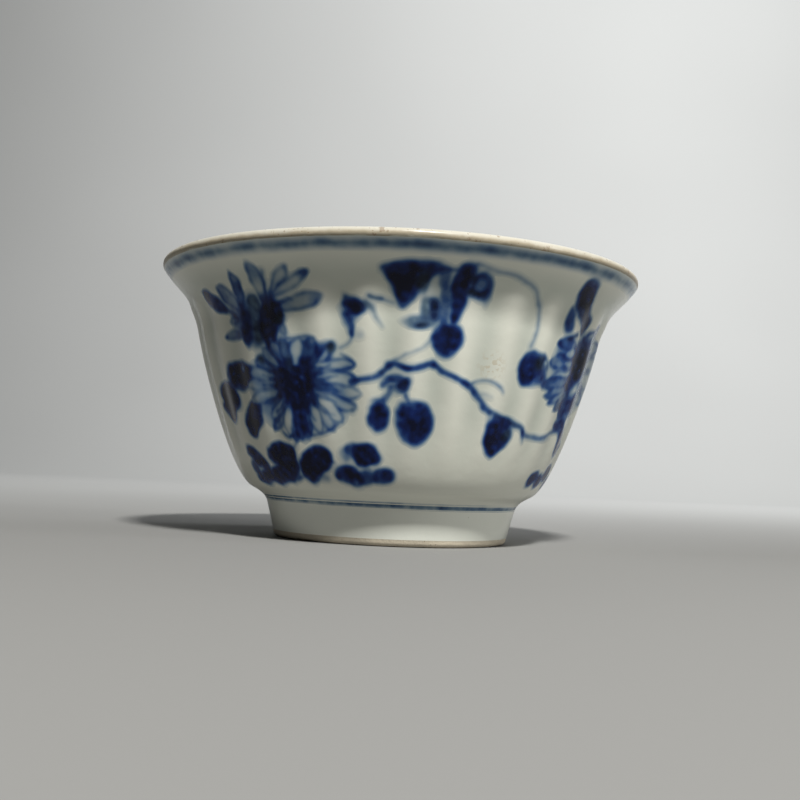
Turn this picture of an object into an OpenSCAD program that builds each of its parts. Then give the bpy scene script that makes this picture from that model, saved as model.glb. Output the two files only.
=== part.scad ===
// A small handleless tea cup in blue-and-white porcelain: a thrown bowl on a turned foot ring, a
// fluted glaze outside, and cobalt painting between two blue lines. +Z is up, the cup stands on
// z = 0, and the side that is usually shown faces -Y. All sizes are in millimetres.

/* [Overall] */

// Widest outside diameter, across the lip
rim_d = 76; // [70:0.5:92]
// Height from the table to the top of the lip
height = 42.4; // [38:0.1:52]

/* [Wall] */

// Outside diameter at the waist, where the flare of the rim starts
waist_d = 64.2; // [58:0.1:68]
// How far the waist lies below the top of the lip
waist_drop = 10.9; // [8:0.1:13]
// Outside diameter at the shoulder, just over the foot
shoulder_d = 44.6; // [43:0.1:52]
// Height of the shoulder
shoulder_h = 7.6; // [7:0.1:9]
// Lean of the wall at the lip, from upright
flare_angle = 40; // [30:1:48]
// Wall thickness at the rounded lip
lip_t = 1.6; // [1.4:0.1:2]
// Wall thickness in the lower half of the bowl
wall_t = 2.6; // [2:0.1:3]
// Thickness of the floor in the middle of the cup
floor_t = 2.8; // [2:0.1:4]
// Thickness of the fired glaze, the painting under it included
glaze_t = 0.46; // [0.4:0.02:0.6]
// Thickness of the painted pigment
paint_t = 0.08; // [0.06:0.01:0.1]

/* [Flutes] */

// Number of shallow upright flutes round the outside
flute_count = 30; // [18:1:36]
// Depth of the grooves between the flutes
flute_depth = 0.2; // [0.1:0.01:0.3]
// Height of a flute's fading end, at its top and at its bottom
flute_fade = 2.6; // [1.5:0.1:5]
// Turn of the flutes round the cup, in degrees from a ridge at the front
flute_turn = 4.5; // [0:0.5:12]

/* [Foot] */

// Outside diameter of the foot ring where it meets the bowl
foot_top_d = 39.6; // [38:0.1:41]
// Outside diameter of the foot ring near the table
foot_low_d = 37.2; // [35:0.1:39]
// Height of the foot ring's straight outer side
foot_h = 5.2; // [4.5:0.1:6]
// Width of the bare ring that the cup stands on
foot_rest_w = 2; // [1.5:0.1:3]
// Rounding of the foot ring's two lower edges
foot_round = 0.8; // [0.4:0.1:1]
// Depth of the hollow under the cup
recess_h = 5; // [4.6:0.1:6]
// Draft of the hollow's side wall, in all its depth
recess_draft = 0.9; // [0:0.1:2]

/* [Lines] */

// Distance from the top of the lip down to the brown dressing's lower edge
lip_band_h = 1.5; // [1.4:0.1:2.5]
// Height of the blue line under the lip
rim_line_h = 0.9; // [0.5:0.1:1.5]
// Height of the blue line over the foot
foot_line_h = 0.9; // [0.5:0.1:1.5]
// Height of the blue foot line's lower edge
foot_line_low = 5.7; // [5.4:0.1:6.5]

/* [Hidden] */

paste = "#d9d6cc";
glaze = "#c9ccc4";
brown = "#a98a63";
slate = "#5d6b7c";
cobalt = "#26376b";
navy = "#141d42";

$fn = 96;
steps = 7;
eps = 0.01;
far = rim_d + height;

// --- Outline of the wall, as points [radius, height] ---

function unit(v) = v / norm(v);
function bezier(p, t) =
    p[0] * pow(1 - t, 3) + p[1] * 3 * t * pow(1 - t, 2)
    + p[2] * 3 * t * t * (1 - t) + p[3] * pow(t, 3);
function slope(p, t) = unit(
    (p[1] - p[0]) * pow(1 - t, 2) + (p[2] - p[1]) * 2 * t * (1 - t) + (p[3] - p[2]) * t * t);
// a curve from a to b that leaves along u and arrives along v
function span(a, u, b, v, pull_a, pull_b) =
    [a, a + unit(u) * pull_a * norm(b - a), b - unit(v) * pull_b * norm(b - a), b];
function out(d) = [d[1], -d[0]];

lip_lean = [sin(flare_angle), cos(flare_angle)];
lip_centre = [rim_d / 2 - lip_t / 2, height - lip_t / 2];
foot_top = [foot_top_d / 2, foot_h];
foot_side = unit([foot_top_d / 2 - foot_low_d / 2, foot_h]);
shoulder = [shoulder_d / 2, shoulder_h];
shoulder_lean = [1, 0.5];
waist = [waist_d / 2, height - waist_drop];
waist_lean = [0.22, 1];
wall_end = lip_centre + out(lip_lean) * lip_t / 2;

corner = span(foot_top, foot_side, shoulder, shoulder_lean, 0.38, 0.4);
belly = span(shoulder, shoulder_lean, waist, waist_lean, 0.15, 0.27);
flare = span(waist, waist_lean, wall_end, lip_lean, 0.3, 0.42);

// each sample is [point, outward normal, share of the way up to the lip]
wall = concat(
    [for (i = [0 : 4]) [bezier(corner, i / 5), out(slope(corner, i / 5)), 0]],
    [for (i = [0 : steps - 1]) [bezier(belly, i / steps), out(slope(belly, i / steps)), 0]],
    [for (i = [0 : steps]) [bezier(flare, i / steps), out(slope(flare, i / steps)), i / steps]]
);
// the outline moved inwards by d
function skin(d) = [for (w = wall) w[0] - w[1] * d];
function mean(a, b, s) = a * (1 - s) + b * s;
function radius(line, z) = lookup(z, [for (p = line) [p[1], p[0]]]);
// the part of an outline between two heights, with an end point at each
function cut(line, low, high) = concat(
    [[radius(line, low), low]],
    [for (p = line) if (p[1] > low + eps && p[1] < high - eps) p],
    [[radius(line, high), high]]
);
function reversed(a) = [for (i = [len(a) - 1 : -1 : 0]) a[i]];
function layer(outer, inner, low, high) =
    concat(cut(outer, low, high), reversed(cut(inner, low, high)));

skin_0 = skin(0);
skin_paint = skin(glaze_t - paint_t);
skin_paste = skin(glaze_t);

// --- Inside of the bowl ---

inner_from = 5 + 3;
floor_z = recess_h + floor_t;
function bowl_wall(d) = [
    for (i = [len(wall) - 1 : -1 : inner_from])
        wall[i][0] - wall[i][1] * (mean(wall_t, lip_t, wall[i][2]) - d)
];
bowl_low = bowl_wall(0)[len(bowl_wall(0)) - 1];
bowl_lean = -[-wall[inner_from][1][1], wall[inner_from][1][0]];
function bowl_floor(d) =
    let (
        a = bowl_low + wall[inner_from][1] * d,
        b = [0, floor_z - d],
        c = span(a, bowl_lean, b, [-1, 0], 0.3, 0.5)
    )
    [for (i = [1 : steps]) bezier(c, i / steps)];
function bowl(d) = concat(bowl_wall(d), bowl_floor(d));

// --- Lip and foot ---

function lip_arc(d) = [
    for (a = [0 : 20 : 180])
        lip_centre + (lip_t / 2 - d) * (cos(a) * out(lip_lean) + sin(a) * lip_lean)
];
lip_low = height - lip_band_h;
lip_low_inside = bowl_wall(0)[1][1];
line_high = lip_low;
line_low = line_high - rim_line_h;
foot_line_high = foot_line_low + foot_line_h;

foot_low = [foot_low_d / 2, foot_round];
rest_out = foot_low_d / 2 - foot_round;
rest_in = rest_out - foot_rest_w;
recess_low = rest_in - foot_round;
recess_top = recess_low - recess_draft;
bare_h = foot_round + 0.3;
function foot_outer(d) = [[radius_on_foot(bare_h) - d, bare_h], [foot_top[0] - d, foot_top[1]]];
function radius_on_foot(z) = mean(foot_low[0], foot_top[0], (z - foot_round) / (foot_h - foot_round));

// --- Painting: drawn at full size on an upright sheet, then laid into the wall ---

drawn_waist = 64.2;
drawn_low = 6.6;
drawn_band = 33.4;
across = waist_d / drawn_waist;
upward = (line_low - foot_line_high) / drawn_band;
function fit(p) = [for (q = p) [q[0] * across, foot_line_high + (q[1] - drawn_low) * upward]];

function turned(p, at, a) = [
    for (q = p) at + [q[0] * cos(a) - q[1] * sin(a), q[0] * sin(a) + q[1] * cos(a)]
];
function oval(at, w, h, a = 0, n = 14) =
    turned([for (i = [0 : n - 1]) [w / 2 * cos(360 * i / n), h / 2 * sin(360 * i / n)]], at, a);
// a petal or leaf that starts at a point and runs along direction a; tip is the share of its
// length at which it is widest
function petal(at, l, w, a, tip = 0.62) = turned(
    concat(
        [for (s = [0, 0.25, 0.55, 0.8, 0.95]) [l * s, -w / 2 * swell(s, tip)]],
        [[l, 0]],
        [for (s = [0.95, 0.8, 0.55, 0.25, 0]) [l * s, w / 2 * swell(s, tip)]]
    ), at, a);
function swell(s, tip) = s < tip
    ? 0.3 + 0.7 * sin(90 * s / tip)
    : sqrt(max(0, 1 - pow((s - tip) / (1 - tip), 2)));
// a brush stroke of width w along points
function side(p, i, w) =
    let (d = unit(p[min(i + 1, len(p) - 1)] - p[max(i - 1, 0)]))
    p[i] + [-d[1], d[0]] * w / 2;
function stroke(p, w) = concat(
    [for (i = [0 : len(p) - 1]) side(p, i, w)],
    [for (i = [len(p) - 1 : -1 : 0]) side(p, i, -w)]
);

module draw(points) {
    polygon(fit(points));
}

module paint_layer() {
    rotate_extrude()
        polygon(layer(skin_paint, skin_paste, foot_line_high, line_low));
}

// carries a drawing outwards from the axis, at an angle round the cup
module carry(angle) {
    rotate([0, 0, angle])
        rotate([90, 0, 0])
            linear_extrude(far)
                children();
}

// lays a drawing into the paint layer, facing out at an angle round the cup
module lay(angle) {
    intersection() {
        paint_layer();
        carry(angle)
            children();
    }
}

// a chrysanthemum: a ring of petals round a dark oval heart
module mum(at, r, petals, start, stop, heart, wide = 1.12, squash = 0.84) {
    draw(oval(at, heart[0], heart[1], 8));
    for (i = [0 : petals - 1]) {
        a = start + (stop - start) * i / max(1, petals - 1);
        l = r * (0.9 + 0.1 * cos(5 * a + 40)) * sqrt(pow(wide * cos(a), 2) + pow(squash * sin(a), 2));
        draw(petal(at, l, r * 0.36, a));
    }
}

module blots(list) {
    for (b = list)
        draw(oval([b[0], b[1]], b[2], b[3], b[4]));
}

module strokes(list) {
    for (s = list)
        draw(stroke(s[1], s[0]));
}

// --- The painted patches, as flat drawings ---

front_at = -36;
spray_at = 13;
right_at = 61;
right_spray_at = 112;
back_at = 166;
back_spray_at = 224;

module mum_front_drawing() {
    mum([4.1, 22], 8, 15, -168, 168, [5, 8.6]);
}

module half_mum_front_drawing() {
    draw(oval([1, 31], 5.2, 6.4, -10));
    draw(oval([-3.8, 31.4], 4.6, 6.6, 12));
    for (p = [[-1, 33, 5, 1.6, 97], [1.2, 33.2, 4.8, 1.4, 52], [2, 32.4, 6.8, 1.5, 33],
              [2, 31.4, 7.6, 2.3, 12], [-4.6, 33.4, 4.4, 1.9, 98], [-5, 33, 6.4, 1.8, 140],
              [-5, 31.2, 5.2, 1.6, 172], [-5, 29.8, 4.6, 1.3, 180]])
        draw(petal([p[0], p[1]], p[2], p[3], p[4]));
}

module mum_right_drawing() {
    draw(oval([0.4, 28.6], 5.2, 8, 3));
    for (p = [[-1, 30.6, 8.8, 2.8, 128], [-0.4, 31, 5.6, 2.6, 92], [-0.6, 29.4, 7.6, 2.6, 170],
              [-0.6, 28, 8.4, 2.6, 190], [-0.4, 27, 8.4, 2.6, 208], [0, 26, 7.6, 2.4, 232],
              [0.4, 25.4, 7, 2.4, 262], [0.8, 27, 8, 2.6, 302], [1, 28.4, 7.6, 2.6, 340],
              [1, 29.6, 7.2, 2.6, 14], [0.8, 30.6, 6.6, 2.4, 52]])
        draw(petal([p[0], p[1]], p[2], p[3], p[4]));
}

module side_leaves_drawing() {
    blots([[-6.1, 23.8, 5.4, 3.4, -8], [-5.2, 17.2, 4.6, 4.4, 52], [-9.9, 20.6, 5.4, 4.8, -20]]);
    draw(petal([-9.4, 33.2], 4.6, 2, 148));
}

module ground_leaves_drawing() {
    blots([
        [-6.8, 11.8, 4.4, 2.6, -14], [-7.8, 9.2, 4.6, 2, 0], [-1, 12.2, 6, 4, -8],
        [-2.6, 9.5, 4.4, 2, 10], [4.4, 11, 5.8, 4.8, 24], [9.4, 12.8, 2, 1.8, 0],
        [9.2, 9.9, 3, 2.1, 0], [12, 12.8, 4.2, 2.9, -10], [12.4, 10.1, 4.8, 1.7, 10]
    ]);
}

module sprig_drawing() {
    draw(petal([16.2, 32.4], 5, 2, 152));
    draw(stroke([[13.3, 33.4], [12.4, 31.6], [12.1, 30.4], [12, 29.4]], 0.7));
}

module crown_leaf_drawing() {
    draw([[-10, 38], [-6, 38.7], [-1.4, 38.6], [-0.9, 37.7], [-3, 35.6], [-5.4, 33.8], [-6.6, 32.5],
          [-7.6, 34]]);
}

module drop_leaf_drawing() {
    draw(stroke([[0.8, 38.4], [0.3, 36], [0.4, 33.6], [-0.4, 31]], 2.4));
    draw(oval([-0.6, 28.9], 4, 4.2, 8));
    draw(oval([3.1, 36.3], 4, 4.2, 0));
}

module small_leaf_drawing() {
    draw(petal([-1.9, 30.8], 4.2, 1.8, 172));
    draw(petal([-2.7, 30.6], 3.6, 1.8, 97));
}

module tendril_drawing() {
    draw(stroke([[6, 38.4], [8.4, 37.9], [10.8, 36.6], [12.4, 34.6], [12.9, 32.4], [12.4, 30.2],
                 [12, 28.4]], 0.6));
    draw(oval([12.9, 26.1], 4.6, 4.4, 0));
    draw(petal([13.4, 25], 5, 1.8, -14));
}

module branch_drawing() {
    draw(stroke([[-13.6, 22.2], [-11.6, 22.8], [-9.4, 23.8], [-7.2, 25.2], [-4.6, 24.9],
                 [-1.6, 25.3], [1, 24.4], [4, 22.8], [6.4, 20.7], [8.3, 19.6], [11.2, 18.9], [14, 17.4], [17, 16.7],
                 [19.4, 17], [21.6, 17.3]], 0.8));
    draw(stroke([[-7, 25.4], [-4.8, 26.6], [-3, 27.6]], 0.5));
    draw(stroke([[3.8, 22.9], [5.4, 23.9], [7.4, 23.5], [8.6, 22.4]], 0.5));
}

module buds_drawing() {
    blots([[-8.3, 18.3, 2.7, 4, -8], [-3.3, 17.5, 4.9, 5.7, 0], [8.6, 16, 4.6, 5.2, -20]]);
    draw(stroke([[-7.8, 20.9], [-7.2, 22.6], [-5.6, 23.5], [-4.6, 22.2]], 1.2));
}

module leaf_right_drawing() {
    blots([[0.8, 16.6, 4.6, 3, -24], [-2, 10.6, 4.4, 2.6, 8], [3.4, 11.2, 4.6, 3, -12]]);
}

module branch_right_drawing() {
    draw(stroke([[-11, 27], [-8, 28], [-5, 27.4], [-2, 25.6], [1, 24.6], [4, 25], [7, 23.6],
                 [10, 22.8]], 0.8));
    draw(stroke([[-9, 28.2], [-8, 31.4], [-5.4, 34.4], [-1.8, 36.2], [2.2, 36.6]], 0.6));
    draw(petal([1.8, 36.6], 5.2, 2.8, 8));
    draw(stroke([[-5, 26.8], [-5.4, 24.4], [-5, 22.6]], 0.5));
}

module buds_right_drawing() {
    blots([[-5, 19.8, 4.4, 5.2, 6], [4.2, 20.6, 4, 4.8, -14], [9.4, 18, 3, 4, 0]]);
    draw(petal([-1, 30.6], 4.6, 2.2, 24));
}

module mum_back_drawing() {
    mum([0, 21.6], 8.4, 15, -168, 168, [5.4, 8.2]);
}

module half_mum_back_drawing() {
    draw(oval([-6.4, 31.6], 6, 5.6, 20));
    for (p = [[-6, 33, 5.6, 1.8, 86], [-5.4, 33, 6.4, 1.8, 56], [-4.8, 32.4, 7, 2, 28],
              [-4.6, 31.4, 6.6, 2, 4], [-7.4, 33, 5.8, 1.8, 116], [-8, 32.4, 6, 1.8, 146],
              [-8, 31, 5.4, 1.6, 174]])
        draw(petal([p[0], p[1]], p[2], p[3], p[4]));
}

module ground_leaves_back_drawing() {
    blots([
        [-8.8, 11, 5.2, 3.6, 18], [-4, 9.4, 3.6, 2, 0], [0.8, 10.3, 5, 3.2, -12],
        [5.8, 11.4, 4.4, 3.4, 22], [9.6, 9.6, 3.4, 2, -6], [11.4, 15.4, 4, 4.4, -30]
    ]);
}

module branch_back_drawing() {
    draw(stroke([[-13, 21], [-10, 22.4], [-7, 22], [-4, 20.6], [-1, 20.2], [2, 21.8], [5, 24.2],
                 [8, 25], [11, 24.4]], 0.8));
    draw(stroke([[-7, 22.4], [-6.4, 25.6], [-3.6, 28.6], [-0.4, 29.6]], 0.6));
    draw(stroke([[5, 24.6], [5.6, 28], [4.2, 31.6], [1.2, 34.4], [-3, 35.8], [-7, 35.4]], 0.6));
}

module buds_back_drawing() {
    blots([[-10.4, 17.4, 3.8, 4.8, 8], [-1, 15.4, 5, 5.6, 0], [7.6, 19.6, 3.6, 4.8, -12],
           [1.4, 29.4, 2.8, 3.4, -30], [-9, 35.2, 3.4, 3.8, 20]]);
    draw(petal([6.4, 33.4], 5.4, 2.8, 60));
}

// --- Nodes ---

module bowl_body() {
    color(paste)
        rotate_extrude()
            polygon(concat(
                [[0, recess_h + glaze_t], [foot_top[0] - glaze_t, recess_h + glaze_t]],
                [[foot_top[0] - glaze_t, foot_line_low]],
                cut(skin_paste, foot_line_low, lip_low),
                lip_arc(glaze_t),
                bowl(glaze_t)
            ));
}

module foot_ring() {
    color(paste)
        rotate_extrude() {
            difference() {
                polygon([
                    [recess_top + glaze_t, recess_h + glaze_t],
                    [recess_low + glaze_t, bare_h],
                    [recess_low, bare_h],
                    [recess_low, 0],
                    [foot_low[0], 0],
                    [foot_low[0], foot_round],
                    [radius_on_foot(bare_h), bare_h],
                    [radius_on_foot(bare_h) - glaze_t, bare_h],
                    [foot_top[0] - glaze_t, foot_h],
                    [foot_top[0] - glaze_t, recess_h + glaze_t]
                ]);
                edge(recess_low, 1);
                edge(foot_low[0], -1);
            }
        }
}

// what a rounded lower edge of the foot ring takes away
module edge(r, way) {
    difference() {
        translate([way > 0 ? r - eps : r - foot_round, -eps])
            square([foot_round + eps, foot_round + eps]);
        translate([r + way * foot_round, foot_round])
            circle(foot_round);
    }
}

module inner_glaze() {
    low = [for (p = bowl(0)) if (p[1] < lip_low_inside - eps) p];
    low_paste = [for (p = bowl(glaze_t)) if (p[1] < lip_low_inside - eps) p];
    top = [for (d = [0, glaze_t]) [radius(reversed(bowl_wall(d)), lip_low_inside), lip_low_inside]];
    color(glaze)
        rotate_extrude()
            polygon(concat([top[0]], low, reversed(low_paste), [top[1]]));
}

// the fluted skin: a faceted surface round an exact core
module outer_glaze() {
    outer = cut(skin_0, foot_line_low, lip_low);
    rows = len(outer);
    per_flute = 4;
    round_n = flute_count * per_flute;
    points = [
        for (p = outer, i = [0 : round_n - 1])
            let (r = p[0] - groove(i / per_flute, p[1]), a = 360 * i / round_n + flute_turn)
            [r * cos(a), r * sin(a), p[1]]
    ];
    faces = concat(
        [[for (i = [0 : round_n - 1]) i]],
        [[for (i = [round_n - 1 : -1 : 0]) (rows - 1) * round_n + i]],
        [for (j = [0 : rows - 2], i = [0 : round_n - 1])
            let (k = (i + 1) % round_n)
            [j * round_n + i, (j + 1) * round_n + i, (j + 1) * round_n + k]],
        [for (j = [0 : rows - 2], i = [0 : round_n - 1])
            let (k = (i + 1) % round_n)
            [j * round_n + i, (j + 1) * round_n + k, j * round_n + k]]
    );
    color(glaze)
        difference() {
            polyhedron(points, faces);
            rotate_extrude($fn = 360)
                polygon(concat(
                    [[0, foot_line_low - 1], [radius(skin_paint, foot_line_low), foot_line_low - 1]],
                    cut(skin_paint, foot_line_low, lip_low),
                    [[radius(skin_paint, lip_low), height + 1], [0, height + 1]]
                ));
        }
}

// depth of the flutes' surface at a place round the cup, in flutes, and at a height
function groove(turn, z) =
    let (
        s = 2 * abs(turn - round(turn)),
        up = min(1, max(0, (z - foot_line_high) / flute_fade)),
        down = min(1, max(0, (line_low - z) / flute_fade))
    )
    flute_depth * pow(1 - s, 2) * up * down;

module foot_glaze() {
    color(glaze)
        rotate_extrude()
            polygon([
                [radius_on_foot(bare_h) - glaze_t, bare_h],
                [radius_on_foot(bare_h), bare_h],
                foot_top,
                [radius(skin_0, foot_line_low), foot_line_low],
                [foot_top[0] - glaze_t, foot_line_low],
                [foot_top[0] - glaze_t, foot_h]
            ]);
}

module recess_glaze() {
    color(glaze)
        rotate_extrude()
            polygon([
                [0, recess_h],
                [recess_top, recess_h],
                [recess_low, bare_h],
                [recess_low + glaze_t, bare_h],
                [recess_top + glaze_t, recess_h + glaze_t],
                [0, recess_h + glaze_t]
            ]);
}

module lip_dressing() {
    inside = [for (p = bowl(0)) if (p[1] > lip_low_inside + eps) p];
    inside_paste = [for (p = bowl(glaze_t)) if (p[1] > lip_low_inside + eps) p];
    low = [for (d = [0, glaze_t]) [radius(reversed(bowl_wall(d)), lip_low_inside), lip_low_inside]];
    color(brown)
        rotate_extrude()
            polygon(concat(
                [[radius(skin_0, lip_low), lip_low]],
                lip_arc(0), inside, [low[0], low[1]],
                reversed(inside_paste), reversed(lip_arc(glaze_t)),
                [[radius(skin_paste, lip_low), lip_low]]
            ));
}

module rim_line() {
    color(slate)
        rotate_extrude()
            polygon(layer(skin_paint, skin_paste, line_low, line_high));
}

module foot_line() {
    color(slate)
        rotate_extrude()
            polygon(layer(skin_paint, skin_paste, foot_line_low, foot_line_high));
}

module mum_front() {
    color(cobalt)
        lay(front_at)
            mum_front_drawing();
}

module half_mum_front() {
    color(navy)
        lay(front_at)
            difference() {
                half_mum_front_drawing();
                mum_front_drawing();
            }
}

module side_leaves_front() {
    color(navy)
        lay(front_at)
            difference() {
                side_leaves_drawing();
                mum_front_drawing();
                half_mum_front_drawing();
            }
}

module ground_leaves_front() {
    color(navy)
        lay(front_at)
            difference() {
                ground_leaves_drawing();
                mum_front_drawing();
                side_leaves_drawing();
            }
}

module sprig_front() {
    color(cobalt)
        lay(front_at)
            difference() {
                sprig_drawing();
                mum_front_drawing();
                half_mum_front_drawing();
            }
}

module crown_leaf_front() {
    color(navy)
        lay(spray_at)
            crown_leaf_drawing();
}

module drop_leaf_front() {
    color(cobalt)
        lay(spray_at)
            difference() {
                drop_leaf_drawing();
                crown_leaf_drawing();
            }
}

module small_leaf_front() {
    color(slate)
        lay(spray_at)
            difference() {
                small_leaf_drawing();
                drop_leaf_drawing();
            }
}

module tendril_front() {
    color(cobalt)
        difference() {
            lay(spray_at)
                difference() {
                    tendril_drawing();
                    drop_leaf_drawing();
                }
            carry(right_at)
                mum_right_drawing();
        }
}

module branch_front() {
    color(cobalt)
        difference() {
            lay(spray_at)
                difference() {
                    branch_drawing();
                    drop_leaf_drawing();
                    buds_drawing();
                }
            carry(front_at)
                mum_front_drawing();
            carry(right_at) {
                leaf_right_drawing();
                mum_right_drawing();
            }
        }
}

module buds_front() {
    color(navy)
        lay(spray_at)
            buds_drawing();
}

module mum_right() {
    color(cobalt)
        lay(right_at)
            mum_right_drawing();
}

module leaf_right() {
    color(navy)
        lay(right_at)
            difference() {
                leaf_right_drawing();
                mum_right_drawing();
            }
}

module branch_right() {
    color(cobalt)
        lay(right_spray_at)
            difference() {
                branch_right_drawing();
                buds_right_drawing();
            }
}

module buds_right() {
    color(navy)
        lay(right_spray_at)
            buds_right_drawing();
}

module mum_back() {
    color(cobalt)
        lay(back_at)
            mum_back_drawing();
}

module half_mum_back() {
    color(navy)
        lay(back_at)
            difference() {
                half_mum_back_drawing();
                mum_back_drawing();
            }
}

module ground_leaves_back() {
    color(navy)
        lay(back_at)
            difference() {
                ground_leaves_back_drawing();
                mum_back_drawing();
            }
}

module branch_back() {
    color(cobalt)
        lay(back_spray_at)
            difference() {
                branch_back_drawing();
                buds_back_drawing();
            }
}

module buds_back() {
    color(navy)
        lay(back_spray_at)
            buds_back_drawing();
}

bowl_body();
foot_ring();
inner_glaze();
outer_glaze();
foot_glaze();
recess_glaze();
lip_dressing();
rim_line();
foot_line();
mum_front();
half_mum_front();
side_leaves_front();
ground_leaves_front();
sprig_front();
crown_leaf_front();
drop_leaf_front();
small_leaf_front();
tendril_front();
branch_front();
buds_front();
mum_right();
leaf_right();
branch_right();
buds_right();
mum_back();
half_mum_back();
ground_leaves_back();
branch_back();
buds_back();
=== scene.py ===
import math
import bpy
import numpy as np
from mathutils import Matrix, Vector


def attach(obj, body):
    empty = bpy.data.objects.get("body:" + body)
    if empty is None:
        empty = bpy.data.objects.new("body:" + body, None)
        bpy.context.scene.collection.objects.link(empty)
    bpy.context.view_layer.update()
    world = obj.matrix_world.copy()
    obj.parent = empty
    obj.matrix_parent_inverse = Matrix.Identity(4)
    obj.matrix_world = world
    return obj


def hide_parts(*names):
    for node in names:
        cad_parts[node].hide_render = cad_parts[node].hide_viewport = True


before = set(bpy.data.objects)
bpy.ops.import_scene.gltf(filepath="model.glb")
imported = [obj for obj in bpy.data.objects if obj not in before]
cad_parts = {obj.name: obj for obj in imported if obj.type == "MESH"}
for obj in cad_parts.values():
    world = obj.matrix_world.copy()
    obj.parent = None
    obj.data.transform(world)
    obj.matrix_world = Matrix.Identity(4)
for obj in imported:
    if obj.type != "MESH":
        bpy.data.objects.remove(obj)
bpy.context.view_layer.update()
mm = 0.001
print("frame loaded")


# small helpers for node trees
def addNode(tree, kind, **settings):
    n = tree.nodes.new(kind)
    for key, value in settings.items():
        setattr(n, key, value)
    return n


def plug(tree, socket, value):
    if isinstance(value, bpy.types.NodeSocket):
        tree.links.new(value, socket)
    else:
        socket.default_value = value


def calc(tree, operation, *values, clamp=False):
    n = addNode(tree, "ShaderNodeMath", operation=operation, use_clamp=clamp)
    for socket, value in zip(n.inputs, values):
        plug(tree, socket, value)
    return n.outputs[0]


def newMaterial(name):
    m = bpy.data.materials.new(name)
    m.use_nodes = True
    m.node_tree.nodes.clear()
    return m, m.node_tree


def noise(tree, coords, scale, detail=3.0, rough=0.5):
    n = addNode(tree, "ShaderNodeTexNoise")
    n.inputs["Scale"].default_value = scale
    n.inputs["Detail"].default_value = detail
    n.inputs["Roughness"].default_value = rough
    tree.links.new(coords, n.inputs["Vector"])
    return n.outputs["Fac"]


def ramp(tree, fac, stops):
    n = addNode(tree, "ShaderNodeValToRGB")
    els = n.color_ramp.elements
    while len(els) < len(stops):
        els.new(0.5)
    for el, (at, colour) in zip(els, stops):
        el.position = at
        el.color = (*colour, 1)
    tree.links.new(fac, n.inputs["Fac"])
    return n.outputs["Color"]


def blendColour(tree, fac, a, b, how="MIX"):
    n = addNode(tree, "ShaderNodeMix", data_type="RGBA", blend_type=how)
    plug(tree, n.inputs[0], fac)
    for socket, value in ((n.inputs[6], a), (n.inputs[7], b)):
        plug(tree, socket, (*value, 1) if isinstance(value, tuple) else value)
    return n.outputs[2]


def surface(tree, colour, roughness, coat, bump=None, coatRough=0.06):
    shader = addNode(tree, "ShaderNodeBsdfPrincipled")
    plug(tree, shader.inputs["Base Color"], colour)
    plug(tree, shader.inputs["Roughness"], roughness)
    shader.inputs["Coat Weight"].default_value = coat
    shader.inputs["Specular IOR Level"].default_value = 0.06 if coat else 0.4
    shader.inputs["Coat IOR"].default_value = 1.42
    shader.inputs["Coat Roughness"].default_value = coatRough
    if bump is not None:
        height, strength, distance = bump
        b = addNode(tree, "ShaderNodeBump")
        b.inputs["Strength"].default_value = strength
        b.inputs["Distance"].default_value = distance
        tree.links.new(height, b.inputs["Height"])
        tree.links.new(b.outputs["Normal"], shader.inputs["Normal"])
    end = addNode(tree, "ShaderNodeOutputMaterial")
    tree.links.new(shader.outputs[0], end.inputs[0])
    return shader


# materials
# pooled: a darker tint for the grooves and the band under the rim, partly pooled glaze and partly painted
# shade
glazeLook = dict(
    roughness=0.24, coat=0.36, bump=0.12, bumpDistance=0.0004, cloudScale=55, fineScale=420,
    pinholeScale=900, pinholeFrom=0.83, pinhole=(0.2, 0.17, 0.12), pooledAndShaded=(0.47, 0.50, 0.44),
    rustAt=(0.0132, -0.028, 0.0258), rustReach=0.0026, rust=(0.42, 0.33, 0.2))
inkStops = [
    (0.0, (1, 1, 1)),
    (0.16, (0.63, 0.70, 0.81)),
    (0.36, (0.228, 0.345, 0.56)),
    (0.57, (0.038, 0.112, 0.375)),
    (0.79, (0.0045, 0.022, 0.165)),
    (0.97, (0.0008, 0.0030, 0.030))]
tealStops = [
    (0.0, (1, 1, 1)),
    (0.45, (0.20, 0.29, 0.325)),
    (0.8, (0.020, 0.043, 0.050)),
    (1.0, (0.003, 0.006, 0.0066))]


def attributeValue(tree, name):
    return addNode(tree, "ShaderNodeAttribute", attribute_name=name).outputs["Fac"]


def rustOver(t, at, white):
    # a rusty stain in the white, right of the middle
    gap = addNode(t, "ShaderNodeVectorMath", operation="DISTANCE")
    t.links.new(at, gap.inputs[0])
    gap.inputs[1].default_value = glazeLook["rustAt"]
    share = calc(t, "DIVIDE", gap.outputs["Value"], glazeLook["rustReach"])
    near = calc(t, "SUBTRACT", 1, share, clamp=True)
    grains = calc(t, "GREATER_THAN", noise(t, at, 1500, 2), 0.53)
    rust = calc(t, "MULTIPLY", near, grains)
    return blendColour(t, calc(t, "MULTIPLY", rust, 0.55), white, glazeLook["rust"])


def inkOver(t, at, white):
    # washes of cobalt, mottled, with a greenish cast in places
    grain = calc(t, "SUBTRACT", noise(t, at, 1300, 3, 0.65), 0.5)
    mottle = calc(t, "MULTIPLY_ADD", grain, 0.2, 1.0)
    wash = calc(t, "MULTIPLY_ADD", noise(t, at, 380, 2), 0.3, 0.83)
    ink = calc(t, "MULTIPLY", attributeValue(t, "pigment"), mottle)
    ink = calc(t, "MULTIPLY", ink, wash, clamp=True)
    greenish = calc(t, "MULTIPLY", attributeValue(t, "teal"), 0.8)
    colour = blendColour(t, greenish, ramp(t, ink, inkStops), ramp(t, ink, tealStops))
    return blendColour(t, 1.0, white, colour, "MULTIPLY")


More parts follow.
